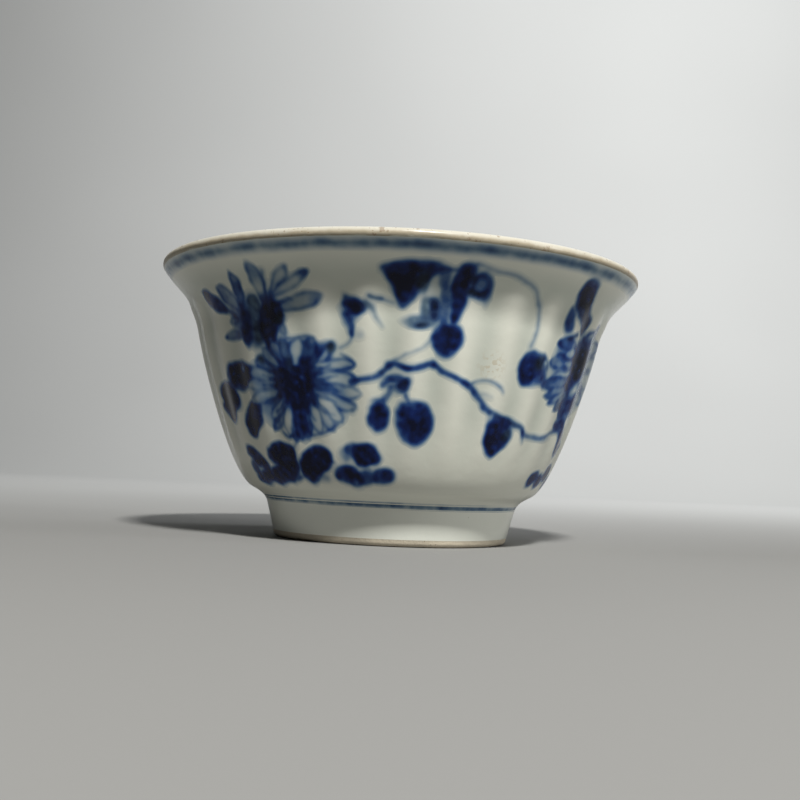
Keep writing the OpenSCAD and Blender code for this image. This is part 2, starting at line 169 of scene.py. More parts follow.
def glazeMaterial(name, tint, painted):
    m, t = newMaterial(name)
    look = glazeLook
    at = addNode(t, "ShaderNodeTexCoord").outputs["Object"]
    clouds = noise(t, at, look["cloudScale"], 3)
    fine = noise(t, at, look["fineScale"], 4)
    colour = ramp(t, clouds, [(0.3, tuple(0.93 * c for c in tint)), (0.7, tint)])
    pinholes = calc(t, "GREATER_THAN", noise(t, at, look["pinholeScale"], 1), look["pinholeFrom"])
    colour = blendColour(t, calc(t, "MULTIPLY", pinholes, 0.5), colour, look["pinhole"])
    if painted:
        # darker in the grooves and under the rim: partly pooled glaze, partly painted shade of the flutes and
        # the neck
        patchy = calc(t, "MULTIPLY_ADD", noise(t, at, 130, 2), 0.7, 0.45)
        poolAndShade = calc(t, "MULTIPLY", attributeValue(t, "poolAndShade"), patchy, clamp=True)
        colour = blendColour(t, poolAndShade, colour, look["pooledAndShaded"])
        colour = inkOver(t, at, rustOver(t, at, colour))
    surface(t, colour, look["roughness"], look["coat"], (fine, look["bump"], look["bumpDistance"]))
    return m


def pasteMaterial(name, tint, rough):
    m, t = newMaterial(name)
    at = addNode(t, "ShaderNodeTexCoord").outputs["Object"]
    sand = noise(t, at, 2200, 4, 0.7)
    patches = noise(t, at, 160, 2)
    colour = ramp(t, patches, [(0.35, tuple(0.78 * c for c in tint)), (0.65, tint)])
    iron = calc(t, "GREATER_THAN", noise(t, at, 1400, 2), 0.7)
    colour = blendColour(t, calc(t, "MULTIPLY", iron, 0.6), colour, (0.16, 0.1, 0.055))
    surface(t, colour, rough, 0.0, (sand, 0.5, 0.0002))
    return m


lipLook = dict(
    low=0.0409, band=0.0015, wander=0.0012, chip=(0.2, 0.13, 0.08), roughness=0.36, coat=0.35,
    stops=[(0.0, (0.42, 0.43, 0.37)), (0.16, (0.30, 0.27, 0.20)), (0.42, (0.40, 0.35, 0.26)),
           (0.62, (0.50, 0.47, 0.39)), (1.0, (0.56, 0.55, 0.49))])


def lipMaterial():
    m, t = newMaterial("lipDressing")
    at = addNode(t, "ShaderNodeTexCoord").outputs["Object"]
    sep = addNode(t, "ShaderNodeSeparateXYZ")
    t.links.new(at, sep.inputs[0])
    wander = noise(t, at, 190, 4, 0.7)
    wander = calc(t, "MULTIPLY_ADD", wander, lipLook["wander"], -lipLook["wander"] / 2)
    high = calc(t, "ADD", sep.outputs["Z"], wander)
    band = lipLook["band"]
    # lighter towards the top of the lip: worn cream dressing, with a painted highlight where light falls on
    # the rim's top
    up = calc(t, "MULTIPLY_ADD", high, 1 / band, -lipLook["low"] / band, clamp=True)
    chips = calc(t, "GREATER_THAN", noise(t, at, 750, 3, 0.7), 0.64)
    chips = calc(t, "MULTIPLY", chips, 0.55)
    colour = blendColour(t, chips, ramp(t, up, lipLook["stops"]), lipLook["chip"])
    surface(t, colour, lipLook["roughness"], lipLook["coat"], (noise(t, at, 900, 4), 0.35, 0.0003), 0.2)
    return m


glazeOutside = glazeMaterial("glazeOutside", (0.68, 0.69, 0.61), True)
# the same glaze, tinted darker inside the bowl as painted shade
glazeInsideShaded = glazeMaterial("glazeInsideShaded", (0.60, 0.61, 0.55), False)
# the same glaze, tinted lighter on the foot and in the recess as painted light
glazeFootLit = glazeMaterial("glazeFootLit", (0.74, 0.76, 0.69), False)
pasteBare = pasteMaterial("pasteBare", (0.56, 0.50, 0.39), 0.75)
pasteBody = pasteMaterial("pasteBody", (0.66, 0.63, 0.55), 0.8)
lipBrown = lipMaterial()
gritMaterial = pasteMaterial("kilnGrit", (0.30, 0.22, 0.14), 0.9)
print("materials made")


# outline of the wall, in mm: radius and height
shape = dict(
    rimD=76, height=42.4, waistD=64.2, waistDrop=10.9, shoulderD=44.6, shoulderH=7.6,
    flareAngle=40, lipT=1.6, wallT=2.6, floorT=2.8, glazeT=0.46,
    footTopD=39.6, footLowD=37.2, footH=5.2, footRestW=2.0, footRound=0.8,
    recessH=5.0, recessDraft=0.9, lineTop=40.9, footLineLow=5.7)


def unit(v):
    v = np.array(v, float)
    return v / np.linalg.norm(v)


def span(a, u, b, v, pullA, pullB, count):
    a, b = np.array(a, float), np.array(b, float)
    reach = np.linalg.norm(b - a)
    p = [a, a + unit(u) * pullA * reach, b - unit(v) * pullB * reach, b]
    t = np.linspace(0, 1, count)[:, None]
    s = 1 - t
    line = p[0] * s ** 3 + 3 * p[1] * t * s ** 2 + 3 * p[2] * t ** 2 * s + p[3] * t ** 3
    run = (p[1] - p[0]) * s ** 2 + 2 * (p[2] - p[1]) * t * s + (p[3] - p[2]) * t ** 2
    run /= np.linalg.norm(run, axis=1)[:, None]
    return line, np.stack([run[:, 1], -run[:, 0]], 1)


lean = math.radians(shape["flareAngle"])
lipLean = np.array([math.sin(lean), math.cos(lean)])
lipOut = np.array([lipLean[1], -lipLean[0]])
lipCentre = np.array([shape["rimD"] / 2 - shape["lipT"] / 2, shape["height"] - shape["lipT"] / 2])
wallEnd = lipCentre + lipOut * shape["lipT"] / 2
footTop = [shape["footTopD"] / 2, shape["footH"]]
footSide = [(shape["footTopD"] - shape["footLowD"]) / 2, shape["footH"]]
shoulder = [shape["shoulderD"] / 2, shape["shoulderH"]]
waist = [shape["waistD"] / 2, shape["height"] - shape["waistDrop"]]

shoulderLean, waistLean = [1, 0.5], [0.22, 1]
samples = dict(corner=14, belly=36, flare=26)

wallSpans = [
    span(footTop, footSide, shoulder, shoulderLean, 0.38, 0.4, samples["corner"]),
    span(shoulder, shoulderLean, waist, waistLean, 0.15, 0.27, samples["belly"]),
    span(waist, waistLean, wallEnd, lipLean, 0.3, 0.42, samples["flare"])]
wallPoints = np.concatenate([wallSpans[0][0][:-1], wallSpans[1][0][:-1], wallSpans[2][0]])
wallNormals = np.concatenate([wallSpans[0][1][:-1], wallSpans[1][1][:-1], wallSpans[2][1]])


def skin(depth):
    return wallPoints - wallNormals * depth


def radiusAt(z, depth=0.0):
    line = skin(depth)
    return np.interp(z, line[:, 1], line[:, 0])


def outlineBetween(depth, low, high, count):
    z = np.linspace(low, high, count)
    return [(r, h) for r, h in zip(radiusAt(z, depth), z)]


# inside of the bowl
bowlStart = samples["corner"] - 1
bowlThick = np.concatenate([
    np.full(samples["belly"] - 1, shape["wallT"]),
    np.linspace(shape["wallT"], shape["lipT"], samples["flare"])])


def bowlLine(depth):
    pts = wallPoints[bowlStart:]
    nrm = wallNormals[bowlStart:]
    inner = pts - nrm * (bowlThick - depth)[:, None]
    keep = 15    # the lower wall gives way to the floor's curve
    inner = inner[keep:][::-1]
    down = [-abs(nrm[keep][1]), -abs(nrm[keep][0])]
    middle = [0, shape["recessH"] + shape["floorT"] - depth]
    floorLine, _ = span(inner[-1], down, middle, [-1, 0], 0.3, 0.5, 26)
    return [tuple(p) for p in inner] + [tuple(p) for p in floorLine[1:]]


# meshes
def meshFrom(name, points, faces, counts):
    me = bpy.data.meshes.new(name)
    me.vertices.add(len(points))
    me.vertices.foreach_set("co", (np.asarray(points, np.float32) * mm).ravel())
    counts = np.asarray(counts)
    me.loops.add(int(counts.sum()))
    me.loops.foreach_set("vertex_index", np.asarray(faces, np.int32))
    me.polygons.add(len(counts))
    me.polygons.foreach_set("loop_start", np.concatenate([[0], np.cumsum(counts)[:-1]]).astype(np.int32))
    me.update(calc_edges=True)
    me.validate()
    return me


def addObject(name, me, material):
    obj = bpy.data.objects.new(name, me)
    bpy.context.scene.collection.objects.link(obj)
    me.materials.append(material)
    return obj


def smooth(obj, angle=40):
    me = obj.data
    me.polygons.foreach_set("use_smooth", np.ones(len(me.polygons), bool))
    me.set_sharp_from_angle(angle=math.radians(angle))
    me.update()


def lathe(name, loop, segments, material):
    loop = [tuple(p) for p in loop]
    area = sum(a[0] * b[1] - b[0] * a[1] for a, b in zip(loop, loop[1:] + loop[:1]))
    if area < 0:
        loop = loop[::-1]
    points, first = [], []
    turn = 2 * np.pi * np.arange(segments) / segments
    for r, z in loop:
        first.append(len(points))
        if r < 1e-6:
            points.append((0, 0, z))
        else:
            points += list(zip(r * np.sin(turn), -r * np.cos(turn), np.full(segments, z)))
    faces, counts = [], []
    k = np.arange(segments)
    k2 = (k + 1) % segments
    for i in range(len(loop)):
        j = (i + 1) % len(loop)
        a, b = loop[i][0] < 1e-6, loop[j][0] < 1e-6
        if a and b:
            continue
        if a:
            f = np.stack([np.full(segments, first[i]), first[j] + k2, first[j] + k], 1)
        elif b:
            f = np.stack([first[i] + k, first[i] + k2, np.full(segments, first[j])], 1)
        else:
            f = np.stack([first[i] + k, first[i] + k2, first[j] + k2, first[j] + k], 1)
        faces.append(f.ravel())
        counts.append(np.full(segments, f.shape[1]))
    me = meshFrom(name, points, np.concatenate(faces), np.concatenate(counts))
    return addObject(name, me, material)


# geometry node trees; each input is a named number, angle or material
floatIn = "NodeSocketFloat"


def newTree(name, inputs):
    tree = bpy.data.node_groups.new(name, "GeometryNodeTree")
    tree.interface.new_socket("Geometry", in_out="INPUT", socket_type="NodeSocketGeometry")
    tree.interface.new_socket("Geometry", in_out="OUTPUT", socket_type="NodeSocketGeometry")
    for label, kind in inputs:
        tree.interface.new_socket(label, in_out="INPUT", socket_type=kind)
    return tree, addNode(tree, "NodeGroupInput"), addNode(tree, "NodeGroupOutput")


def applyTree(obj, tree, values):
    mod = obj.modifiers.new(tree.name, "NODES")
    mod.node_group = tree
    for item in tree.interface.items_tree:
        if item.item_type == "SOCKET" and item.in_out == "INPUT" and item.name in values:
            mod[item.identifier] = values[item.name]
    dg = bpy.context.evaluated_depsgraph_get()
    me = bpy.data.meshes.new_from_object(
        obj.evaluated_get(dg), preserve_all_data_layers=True, depsgraph=dg)
    obj.modifiers.clear()
    obj.data = me
    return obj


def makeFluteTree():
    tree, start, end = newTree("glazeFlutes", [
        ("Count", floatIn), ("Turn", floatIn), ("Depth", floatIn), ("Arch", floatIn),
        ("Top", floatIn), ("Rim", floatIn), ("Bottom", floatIn), ("Fade", floatIn),
        ("Unevenness", floatIn), ("Surface", "NodeSocketMaterial")])
    v = start.outputs
    position = addNode(tree, "GeometryNodeInputPosition")
    sep = addNode(tree, "ShaderNodeSeparateXYZ")
    tree.links.new(position.outputs[0], sep.inputs[0])
    x, y, z = sep.outputs

    def work(operation, *values, clamp=False):
        return calc(tree, operation, *values, clamp=clamp)

    bearing = work("ARCTAN2", x, work("MULTIPLY", y, -1.0))
    turns = work("DIVIDE", work("ADD", bearing, v["Turn"]), 2 * math.pi)
    flute = work("MULTIPLY", turns, v["Count"])
    # 0 in the middle of a flute, 1 on the line between two
    off = work("MULTIPLY", work("ABSOLUTE", work("SUBTRACT", flute, work("ROUND", flute))), 2.0)
    # the flute's top is a round arch
    above = work("SUBTRACT", z, work("SUBTRACT", v["Top"], v["Arch"]))
    above = work("MAXIMUM", work("DIVIDE", above, v["Arch"]), 0.0)
    far = work("SQRT", work("ADD", work("MULTIPLY", off, off), work("MULTIPLY", above, above)))
    far = work("MINIMUM", far, 1.0)
    cut = addNode(tree, "ShaderNodeMapRange", interpolation_type="SMOOTHSTEP")
    tree.links.new(far, cut.inputs[0])
    fromRim = work("DIVIDE", work("SUBTRACT", v["Rim"], z), work("SUBTRACT", v["Rim"], v["Top"]), clamp=True)
    fromFoot = work("DIVIDE", work("SUBTRACT", z, v["Bottom"]), v["Fade"], clamp=True)
    ease = addNode(tree, "ShaderNodeMapRange", interpolation_type="SMOOTHSTEP")
    tree.links.new(work("MULTIPLY", fromRim, fromFoot), ease.inputs[0])
    deep = work("MULTIPLY", work("MULTIPLY", cut.outputs[0], ease.outputs[0]), v["Depth"])
    # the hand-pressed wall is never quite even
    wave = addNode(tree, "ShaderNodeTexNoise")
    wave.inputs["Scale"].default_value = 75
    wave.inputs["Detail"].default_value = 1.5
    tree.links.new(position.outputs[0], wave.inputs["Vector"])
    dent = work("MULTIPLY", work("MULTIPLY", wave.outputs["Fac"], v["Unevenness"]), ease.outputs[0])
    inward = work("MULTIPLY", work("ADD", deep, dent), -1.0)
    flat = addNode(tree, "ShaderNodeCombineXYZ")
    tree.links.new(x, flat.inputs[0])
    tree.links.new(y, flat.inputs[1])
    way = addNode(tree, "ShaderNodeVectorMath", operation="NORMALIZE")
    tree.links.new(flat.outputs[0], way.inputs[0])
    push = addNode(tree, "ShaderNodeVectorMath", operation="SCALE")
    tree.links.new(way.outputs[0], push.inputs[0])
    tree.links.new(inward, push.inputs["Scale"])
    # glaze gathers in the grooves and under the rim, which the material shows darker: partly pooled glaze,
    # partly painted shade of the flutes and the neck under the rim
    keep = addNode(tree, "GeometryNodeStoreNamedAttribute", data_type="FLOAT", domain="POINT")
    tree.links.new(start.outputs[0], keep.inputs["Geometry"])
    keep.inputs["Name"].default_value = "poolAndShade"
    tree.links.new(work("MULTIPLY", cut.outputs[0], ease.outputs[0]), keep.inputs["Value"])
    move = addNode(tree, "GeometryNodeSetPosition")
    tree.links.new(keep.outputs[0], move.inputs["Geometry"])
    tree.links.new(push.outputs[0], move.inputs["Offset"])
    real = addNode(tree, "GeometryNodeRealizeInstances")
    tree.links.new(move.outputs[0], real.inputs[0])
    coat = addNode(tree, "GeometryNodeSetMaterial")
    tree.links.new(real.outputs[0], coat.inputs["Geometry"])
    tree.links.new(v["Surface"], coat.inputs["Material"])
    tree.links.new(coat.outputs[0], end.inputs[0])
    return tree


def makeSpeckTree():
    # small grains stuck to a surface, between two heights
    tree, start, end = newTree("kilnSpecks", [
        ("Density", floatIn), ("Seed", "NodeSocketInt"), ("Low", floatIn), ("High", floatIn),
        ("Smallest", floatIn), ("Largest", floatIn), ("Flatness", floatIn),
        ("Grain", "NodeSocketMaterial")])
    v = start.outputs
    position = addNode(tree, "GeometryNodeInputPosition")
    sep = addNode(tree, "ShaderNodeSeparateXYZ")
    tree.links.new(position.outputs[0], sep.inputs[0])
    pick = calc(tree, "MULTIPLY", calc(tree, "GREATER_THAN", sep.outputs["Z"], v["Low"]),
                calc(tree, "LESS_THAN", sep.outputs["Z"], v["High"]))
    scatter = addNode(tree, "GeometryNodeDistributePointsOnFaces")
    tree.links.new(start.outputs[0], scatter.inputs["Mesh"])
    tree.links.new(pick, scatter.inputs["Selection"])
    tree.links.new(v["Density"], scatter.inputs["Density"])
    tree.links.new(v["Seed"], scatter.inputs["Seed"])
    ball = addNode(tree, "GeometryNodeMeshIcoSphere")
    ball.inputs["Radius"].default_value = 1.0
    ball.inputs["Subdivisions"].default_value = 2
    size = addNode(tree, "FunctionNodeRandomValue", data_type="FLOAT")
    tree.links.new(v["Smallest"], size.inputs[2])
    tree.links.new(v["Largest"], size.inputs[3])
    tree.links.new(v["Seed"], size.inputs["Seed"])
    form = addNode(tree, "ShaderNodeCombineXYZ")
    tree.links.new(size.outputs[1], form.inputs[0])
    tree.links.new(calc(tree, "MULTIPLY", size.outputs[1], 0.8), form.inputs[1])
    tree.links.new(calc(tree, "MULTIPLY", size.outputs[1], v["Flatness"]), form.inputs[2])
    put = addNode(tree, "GeometryNodeInstanceOnPoints")
    tree.links.new(scatter.outputs["Points"], put.inputs["Points"])
    tree.links.new(ball.outputs[0], put.inputs["Instance"])
    tree.links.new(scatter.outputs["Rotation"], put.inputs["Rotation"])
    tree.links.new(form.outputs[0], put.inputs["Scale"])
    real = addNode(tree, "GeometryNodeRealizeInstances")
    tree.links.new(put.outputs[0], real.inputs[0])
    coat = addNode(tree, "GeometryNodeSetMaterial")
    tree.links.new(real.outputs[0], coat.inputs["Geometry"])
    tree.links.new(v["Grain"], coat.inputs["Material"])
    both = addNode(tree, "GeometryNodeJoinGeometry")
    tree.links.new(coat.outputs[0], both.inputs[0])
    tree.links.new(start.outputs[0], both.inputs[0])
    tree.links.new(both.outputs[0], end.inputs[0])
    return tree


fluteTree = makeFluteTree()
speckTree = makeSpeckTree()
fluteValues = {
    "Count": 30.0, "Turn": math.radians(-4.5), "Depth": 0.36 * mm, "Arch": 2.8 * mm, "Top": 37.0 * mm,
    "Rim": 39.9 * mm, "Bottom": 8.0 * mm, "Fade": 13.0 * mm, "Unevenness": 0.10 * mm,
    "Surface": glazeOutside}
print("node trees made")


# painting: marks placed by degrees round the cup, 0 at the front, and mm up
perDegree = math.pi / 6    # mm to a degree, at a radius of 30


def inkField(seed, size, waves=22):
    rng = np.random.default_rng(seed)
    ways = rng.normal(0, 1 / size, (waves, 2))
    phases = rng.uniform(0, 2 * np.pi, waves)

    def at(s, z):
        total = np.zeros_like(s)
        for (a, b), p in zip(ways, phases):
            total += np.sin(a * s + b * z + p)
        return total / math.sqrt(waves / 2)
    return at


def blob(x, z, w, h, d=0.95, tilt=0, soft=0.3, teal=0.0, how="wet"):
    cx, rx, rz, a = x * perDegree, w * perDegree / 2, h / 2, math.radians(tilt)
    reach = max(rx, rz)

    def distance(s, u):
        p, q = s - cx, u - z
        e, f = p * math.cos(a) + q * math.sin(a), q * math.cos(a) - p * math.sin(a)
        k = np.sqrt((e / rx) ** 2 + (f / rz) ** 2)
        return (k - 1) * math.sqrt(rx * rz) * np.where(k > 1, 0.9, 1)
    return dict(box=(cx - reach, cx + reach, z - reach, z + reach), distance=distance,
                d=d, soft=soft, teal=teal, how=how)


def petal(x0, z0, x1, z1, w, fill=0.1, edge=0.6, tip=0.0, base=0.0, teal=0.0, widest=0.62, soft=0.13):
    a = np.array([x0 * perDegree, z0])
    b = np.array([x1 * perDegree, z1])
    length = np.linalg.norm(b - a)
    run = (b - a) / length

    def along(s, u):
        return ((s - a[0]) * run[0] + (u - a[1]) * run[1]) / length

    def distance(s, u):
        t = along(s, u)
        side = np.abs((s - a[0]) * run[1] - (u - a[1]) * run[0])
        tt = np.clip(t, 0, 1)
        swell = 0.25 + 0.75 * np.sin(np.pi / 2 * tt / widest)
        narrow = np.clip(1 - ((tt - widest) / (1 - widest)) ** 2, 0, 1) ** 0.66
        half = np.where(tt < widest, swell, narrow) * w / 2
        beyond = np.maximum(np.maximum(-t, t - 1), 0) * length
        return np.where(beyond > 0, np.hypot(beyond, np.maximum(side - half, 0)), (side - half) * 0.92)
    low, high = np.minimum(a, b) - w / 2, np.maximum(a, b) + w / 2
    return dict(box=(low[0], high[0], low[1], high[1]), distance=distance, along=along, fill=fill,
                edge=edge, tip=tip, base=base, teal=teal, soft=soft, how="petal")


def eased(pts, steps=5):
    # a smooth line through the points
    ends = np.concatenate([[2 * pts[0] - pts[1]], pts, [2 * pts[-1] - pts[-2]]])
    t = (np.arange(steps) / steps)[:, None]
    out = []
    for a, b, c, d in zip(ends[:-3], ends[1:-2], ends[2:-1], ends[3:]):
        bow, turn = 2 * a - 5 * b + 4 * c - d, 3 * b - a - 3 * c + d
        out.append(0.5 * (2 * b + (c - a) * t + bow * t ** 2 + turn * t ** 3))
    return np.concatenate(out + [pts[-1:]])


def stroke(points, w, d=0.85, soft=0.16, teal=0.0, taper=False):
    pts = eased(np.array([(x * perDegree, z) for x, z in points]))
    last = len(pts) - 1

    def distance(s, u):
        best = np.full(s.shape, 99.0)
        for i, (a, b) in enumerate(zip(pts[:-1], pts[1:])):
            ab = b - a
            t = np.clip(((s - a[0]) * ab[0] + (u - a[1]) * ab[1]) / (ab @ ab), 0, 1)
            wide = w / 2
            if taper:
                wide = w / 2 * (1 - 0.75 * (i + t) / last)
            best = np.minimum(best, np.hypot(s - a[0] - t * ab[0], u - a[1] - t * ab[1]) - wide)
        return best
    return dict(box=(pts[:, 0].min() - w, pts[:, 0].max() + w, pts[:, 1].min() - w, pts[:, 1].max() + w),
                distance=distance, d=d, soft=soft, teal=teal, how="wet")


def patch(points, d=0.95, soft=0.22, teal=0.0):
    pts = np.array([(x * perDegree, z) for x, z in points])
    for _ in range(3):    # corners cut, as a wet brush leaves them
        ahead = np.roll(pts, -1, axis=0)
        pts = np.stack([0.74 * pts + 0.26 * ahead, 0.26 * pts + 0.74 * ahead], 1).reshape(-1, 2)

    def distance(s, u):
        best = np.full(s.shape, 99.0)
        inside = np.zeros(s.shape, bool)
        for a, b in zip(pts, np.roll(pts, -1, axis=0)):
            ab = b - a
            t = np.clip(((s - a[0]) * ab[0] + (u - a[1]) * ab[1]) / (ab @ ab), 0, 1)
            best = np.minimum(best, np.hypot(s - a[0] - t * ab[0], u - a[1] - t * ab[1]))
            if a[1] != b[1]:
                crosses = (u < a[1]) != (u < b[1])
                inside ^= crosses & (s < a[0] + (u - a[1]) * ab[0] / ab[1])
        return np.where(inside, -best, best)
    return dict(box=(pts[:, 0].min(), pts[:, 0].max(), pts[:, 1].min(), pts[:, 1].max()),
                distance=distance, d=d, soft=soft, teal=teal, how="wet")


def speck(x, z, w=0.7, h=0.25, tilt=20):
    return blob(x, z, w, h, d=0.25, tilt=tilt, soft=0.08, how="lift")


def moved(marks, fromX, toX, flip=1, up=0.0, size=1.0, middle=22.0):
    # the same brushwork again, elsewhere on the wall
    a, b = fromX * perDegree, toX * perDegree

    def carried(field, factor):
        return lambda s, u: field((s - b) * flip / size + a, (u - up - middle) / size + middle) * factor

    out = []
    for m in marks:
        x0, x1, z0, z1 = m["box"]
        ends = sorted(((x0 - a) * flip * size + b, (x1 - a) * flip * size + b))
        c = dict(m, distance=carried(m["distance"], size))
        if "along" in m:
            c["along"] = carried(m["along"], 1)
        c["box"] = (*ends, (z0 - middle) * size + middle + up, (z1 - middle) * size + middle + up)
        out.append(c)
    return out


mumMarks = [
    blob(-28.5, 22.3, 19, 9.5, 0.5, soft=2.0), blob(-33.5, 23, 6.5, 5.0, 0.68, soft=0.9),
    blob(-23.2, 26.4, 7.5, 4.2, 0.62, soft=0.7), blob(-30.2, 26.6, 4.5, 4.0, 0.6, teal=0.3, soft=0.6),
    blob(-19, 26.6, 4.5, 3.0, 0.55, soft=0.6), blob(-27.8, 17.4, 6.0, 4.8, 0.62, soft=0.6),
    blob(-18.5, 19.5, 11, 6.0, 0.3, soft=1.4), blob(-37, 18.8, 9, 4.5, 0.38, soft=1.0),
    blob(-40, 22.8, 12, 5.5, 0.3, soft=1.3),
    petal(-35, 21.4, -45.5, 19.8, 1.7, 0.2, 0.36), petal(-35, 22.6, -46.5, 22.2, 1.6, 0.24, 0.34),
    petal(-34.6, 23.7, -44.6, 23.9, 1.8, 0.18, 0.42), petal(-33.6, 24.6, -41.6, 25.4, 1.4, 0.26, 0.5),
    petal(-32.6, 24.8, -38.2, 27.1, 1.7, 0.2, 0.5), petal(-31.2, 25.4, -34.6, 28.0, 1.6, 0.42, 0.6),
    petal(-29.7, 25, -30.7, 28.5, 1.5, 0.5, 0.62, teal=0.35),
    petal(-24.9, 25.3, -21.8, 28.6, 1.9, 0.55, 0.55),
    petal(-27.8, 24.5, -26.2, 28.8, 2.0, 0.07, 0.66),
    petal(-20.8, 25.0, -17.2, 27.6, 1.3, 0.12, 0.8),
    petal(-22, 24.9, -10.9, 25.2, 1.35, 0.05, 0.66), petal(-22, 23.4, -10.0, 23.0, 2.05, 0.12, 0.6),
    petal(-20.6, 22.0, -9.3, 21.1, 1.6, 0.0, 0.5, base=0.55),
    petal(-20.6, 20.9, -10.7, 19.2, 1.6, 0.03, 0.56, base=0.5),
    petal(-22.8, 21.6, -15.0, 17.2, 2.0, 0.1, 0.62), petal(-22.6, 19.8, -17.6, 16.1, 1.6, 0.24, 0.6),
    petal(-24.8, 20.6, -22.0, 15.7, 1.9, 0.08, 0.6),
    petal(-27.0, 19.8, -25.9, 15.1, 1.6, 0.5, 0.72), petal(-29.0, 19.8, -28.8, 15.0, 1.5, 0.48, 0.72),
    petal(-30.6, 20.0, -32.7, 15.6, 2.2, 0.05, 0.6), petal(-31.2, 20.9, -38.6, 17.6, 1.6, 0.12, 0.5),
    petal(-33.2, 18.7, -38.8, 16.1, 1.0, 0.5, 0.75), petal(-30.2, 17.6, -30.8, 14.6, 1.1, 0.35, 0.5),
    *[stroke([(-27.8 + 6.5 * math.cos(a), 22.1 + 3.0 * math.sin(a)),
              (-27.8 + 12.5 * math.cos(a), 22.1 + 5.2 * math.sin(a))], 0.62, 0.66, soft=0.26, taper=True)
      for a in (-2.75, -2.35, -1.2, -0.85, -0.42, -0.12, 0.28, 0.6, 2.45, 2.85, 3.1)],
    blob(-27.9, 22.1, 10.5, 6.8, 0.9, soft=0.9), blob(-31.5, 23.3, 6.5, 3.6, 0.8, soft=0.6),
    blob(-24.6, 25.0, 5.2, 2.2, 0.8, 24, soft=0.6), blob(-29.2, 25.0, 2.8, 2.6, 0.75, teal=0.6, soft=0.4),
    blob(-27.3, 22.0, 7.0, 5.4, 0.9, soft=0.7), blob(-28.2, 18.4, 3.4, 2.6, 0.8, soft=0.5),
    stroke([(-26.6, 19.6), (-26.0, 16.4)], 0.32, 0.7), stroke([(-30.0, 20), (-29.8, 16)], 0.3, 0.65),
    stroke([(-24, 22.3), (-19.5, 22.3), (-15.8, 21.7)], 0.34, 0.75, taper=True),
    stroke([(-24, 21.2), (-19.6, 18.6), (-16.8, 18.2)], 0.26, 0.6, taper=True),
    stroke([(-36, 15.9), (-33.6, 15.3), (-31.6, 15.6)], 0.45, 0.75),
    stroke([(-26, 15.6), (-21, 15.7), (-16.6, 16.9)], 0.4, 0.62),
    stroke([(-30.6, 28.2), (-28.4, 28.8), (-26, 28.9), (-22, 28.6)], 0.28, 0.66),
    blob(-17.2, 27.3, 2.9, 1.5, 0.86, -25, teal=0.9), blob(-39.3, 25.8, 2.2, 1.1, 0.88, teal=0.9),
    blob(-11.7, 19.0, 1.1, 0.7, 0.6, teal=0.8), stroke([(-14.6, 26.4), (-12.8, 25.9), (-11, 25.3)], 0.3, 0.6),
    petal(-27.7, 24.9, -26.4, 28.5, 1.55, 0.08, 0.2),
    speck(-27.9, 22.7), speck(-26.4, 23.3, 0.5, 0.5, 60), speck(-27.3, 22.1), speck(-25.1, 20.9, 0.9),
    speck(-26.8, 21.3, 0.5, 0.2), speck(-28.4, 18.5, 1.2, 0.15, 5), speck(-25.6, 22.2, 0.5, 0.2)]

halfMumMarks = [
    blob(-45, 32.2, 8, 5.5, 0.42, soft=0.9), blob(-39.6, 31, 5, 7.6, 0.5, teal=0.5, soft=0.5),
    petal(-44.5, 33, -51.6, 36.2, 1.9, 0.28, 0.52), petal(-45.5, 31.6, -49.6, 31.5, 0.9, 0.3, 0.45),
    petal(-44.5, 29.3, -52.8, 29.4, 1.3, 0.28, 0.42, tip=0.5),
    petal(-43.2, 33.2, -43.4, 37.9, 1.5, 0.34, 0.62, tip=0.6),
    petal(-38.6, 32.5, -40.0, 34.6, 1.5, 0.45, 0.66, teal=0.7),
    petal(-35.2, 32.8, -36.2, 38.6, 1.9, 0.32, 0.8, tip=0.45),
    petal(-33, 34.0, -26.6, 38.0, 1.25, 0.1, 0.66, tip=0.9),
    petal(-32, 34.2, -21.4, 37.2, 1.35, 0.08, 0.62, tip=0.9),
    petal(-31.6, 32.4, -18.2, 34.2, 1.9, 0.16, 0.62, tip=0.85),
    stroke([(-30.6, 33.2), (-28.8, 33.8), (-26.6, 33.5)], 0.24, 0.6),
    stroke([(-34, 34.6), (-33.2, 37.4)], 0.35, 0.62),
    petal(-30.6, 30.9, -29.6, 28.9, 0.9, 0.3, 0.6, teal=0.4),
    blob(-42.8, 30.6, 4.6, 5.8, 0.72, 4, soft=0.6), blob(-42.4, 29.2, 3.0, 3.0, 0.78, soft=0.5),
    blob(-38.6, 29.6, 3.2, 3.8, 0.6, teal=0.8, soft=0.5),
    blob(-34.6, 30.9, 7.2, 6.9, 0.93, -6, soft=0.5), blob(-32.3, 31.8, 4.6, 3.6, 0.97, soft=0.45),
    patch([(-31, 32.4), (-28.2, 31.4), (-30.6, 30.2), (-33, 30.6)], 0.97, teal=0.7),
    blob(-34.4, 28.2, 4.0, 2.2, 0.86, soft=0.4), stroke([(-34.6, 28), (-33.6, 26.6)], 0.7, 0.72, soft=0.3),
    speck(-28.9, 31.4, 1.2, 0.18, 15), speck(-29.4, 31.1, 1.0, 0.14, 20), speck(-39, 31.4, 0.7, 0.35),
    speck(-44.6, 34.5, 0.9, 0.2), speck(-34.6, 28.4, 1.4, 0.12, 0)]

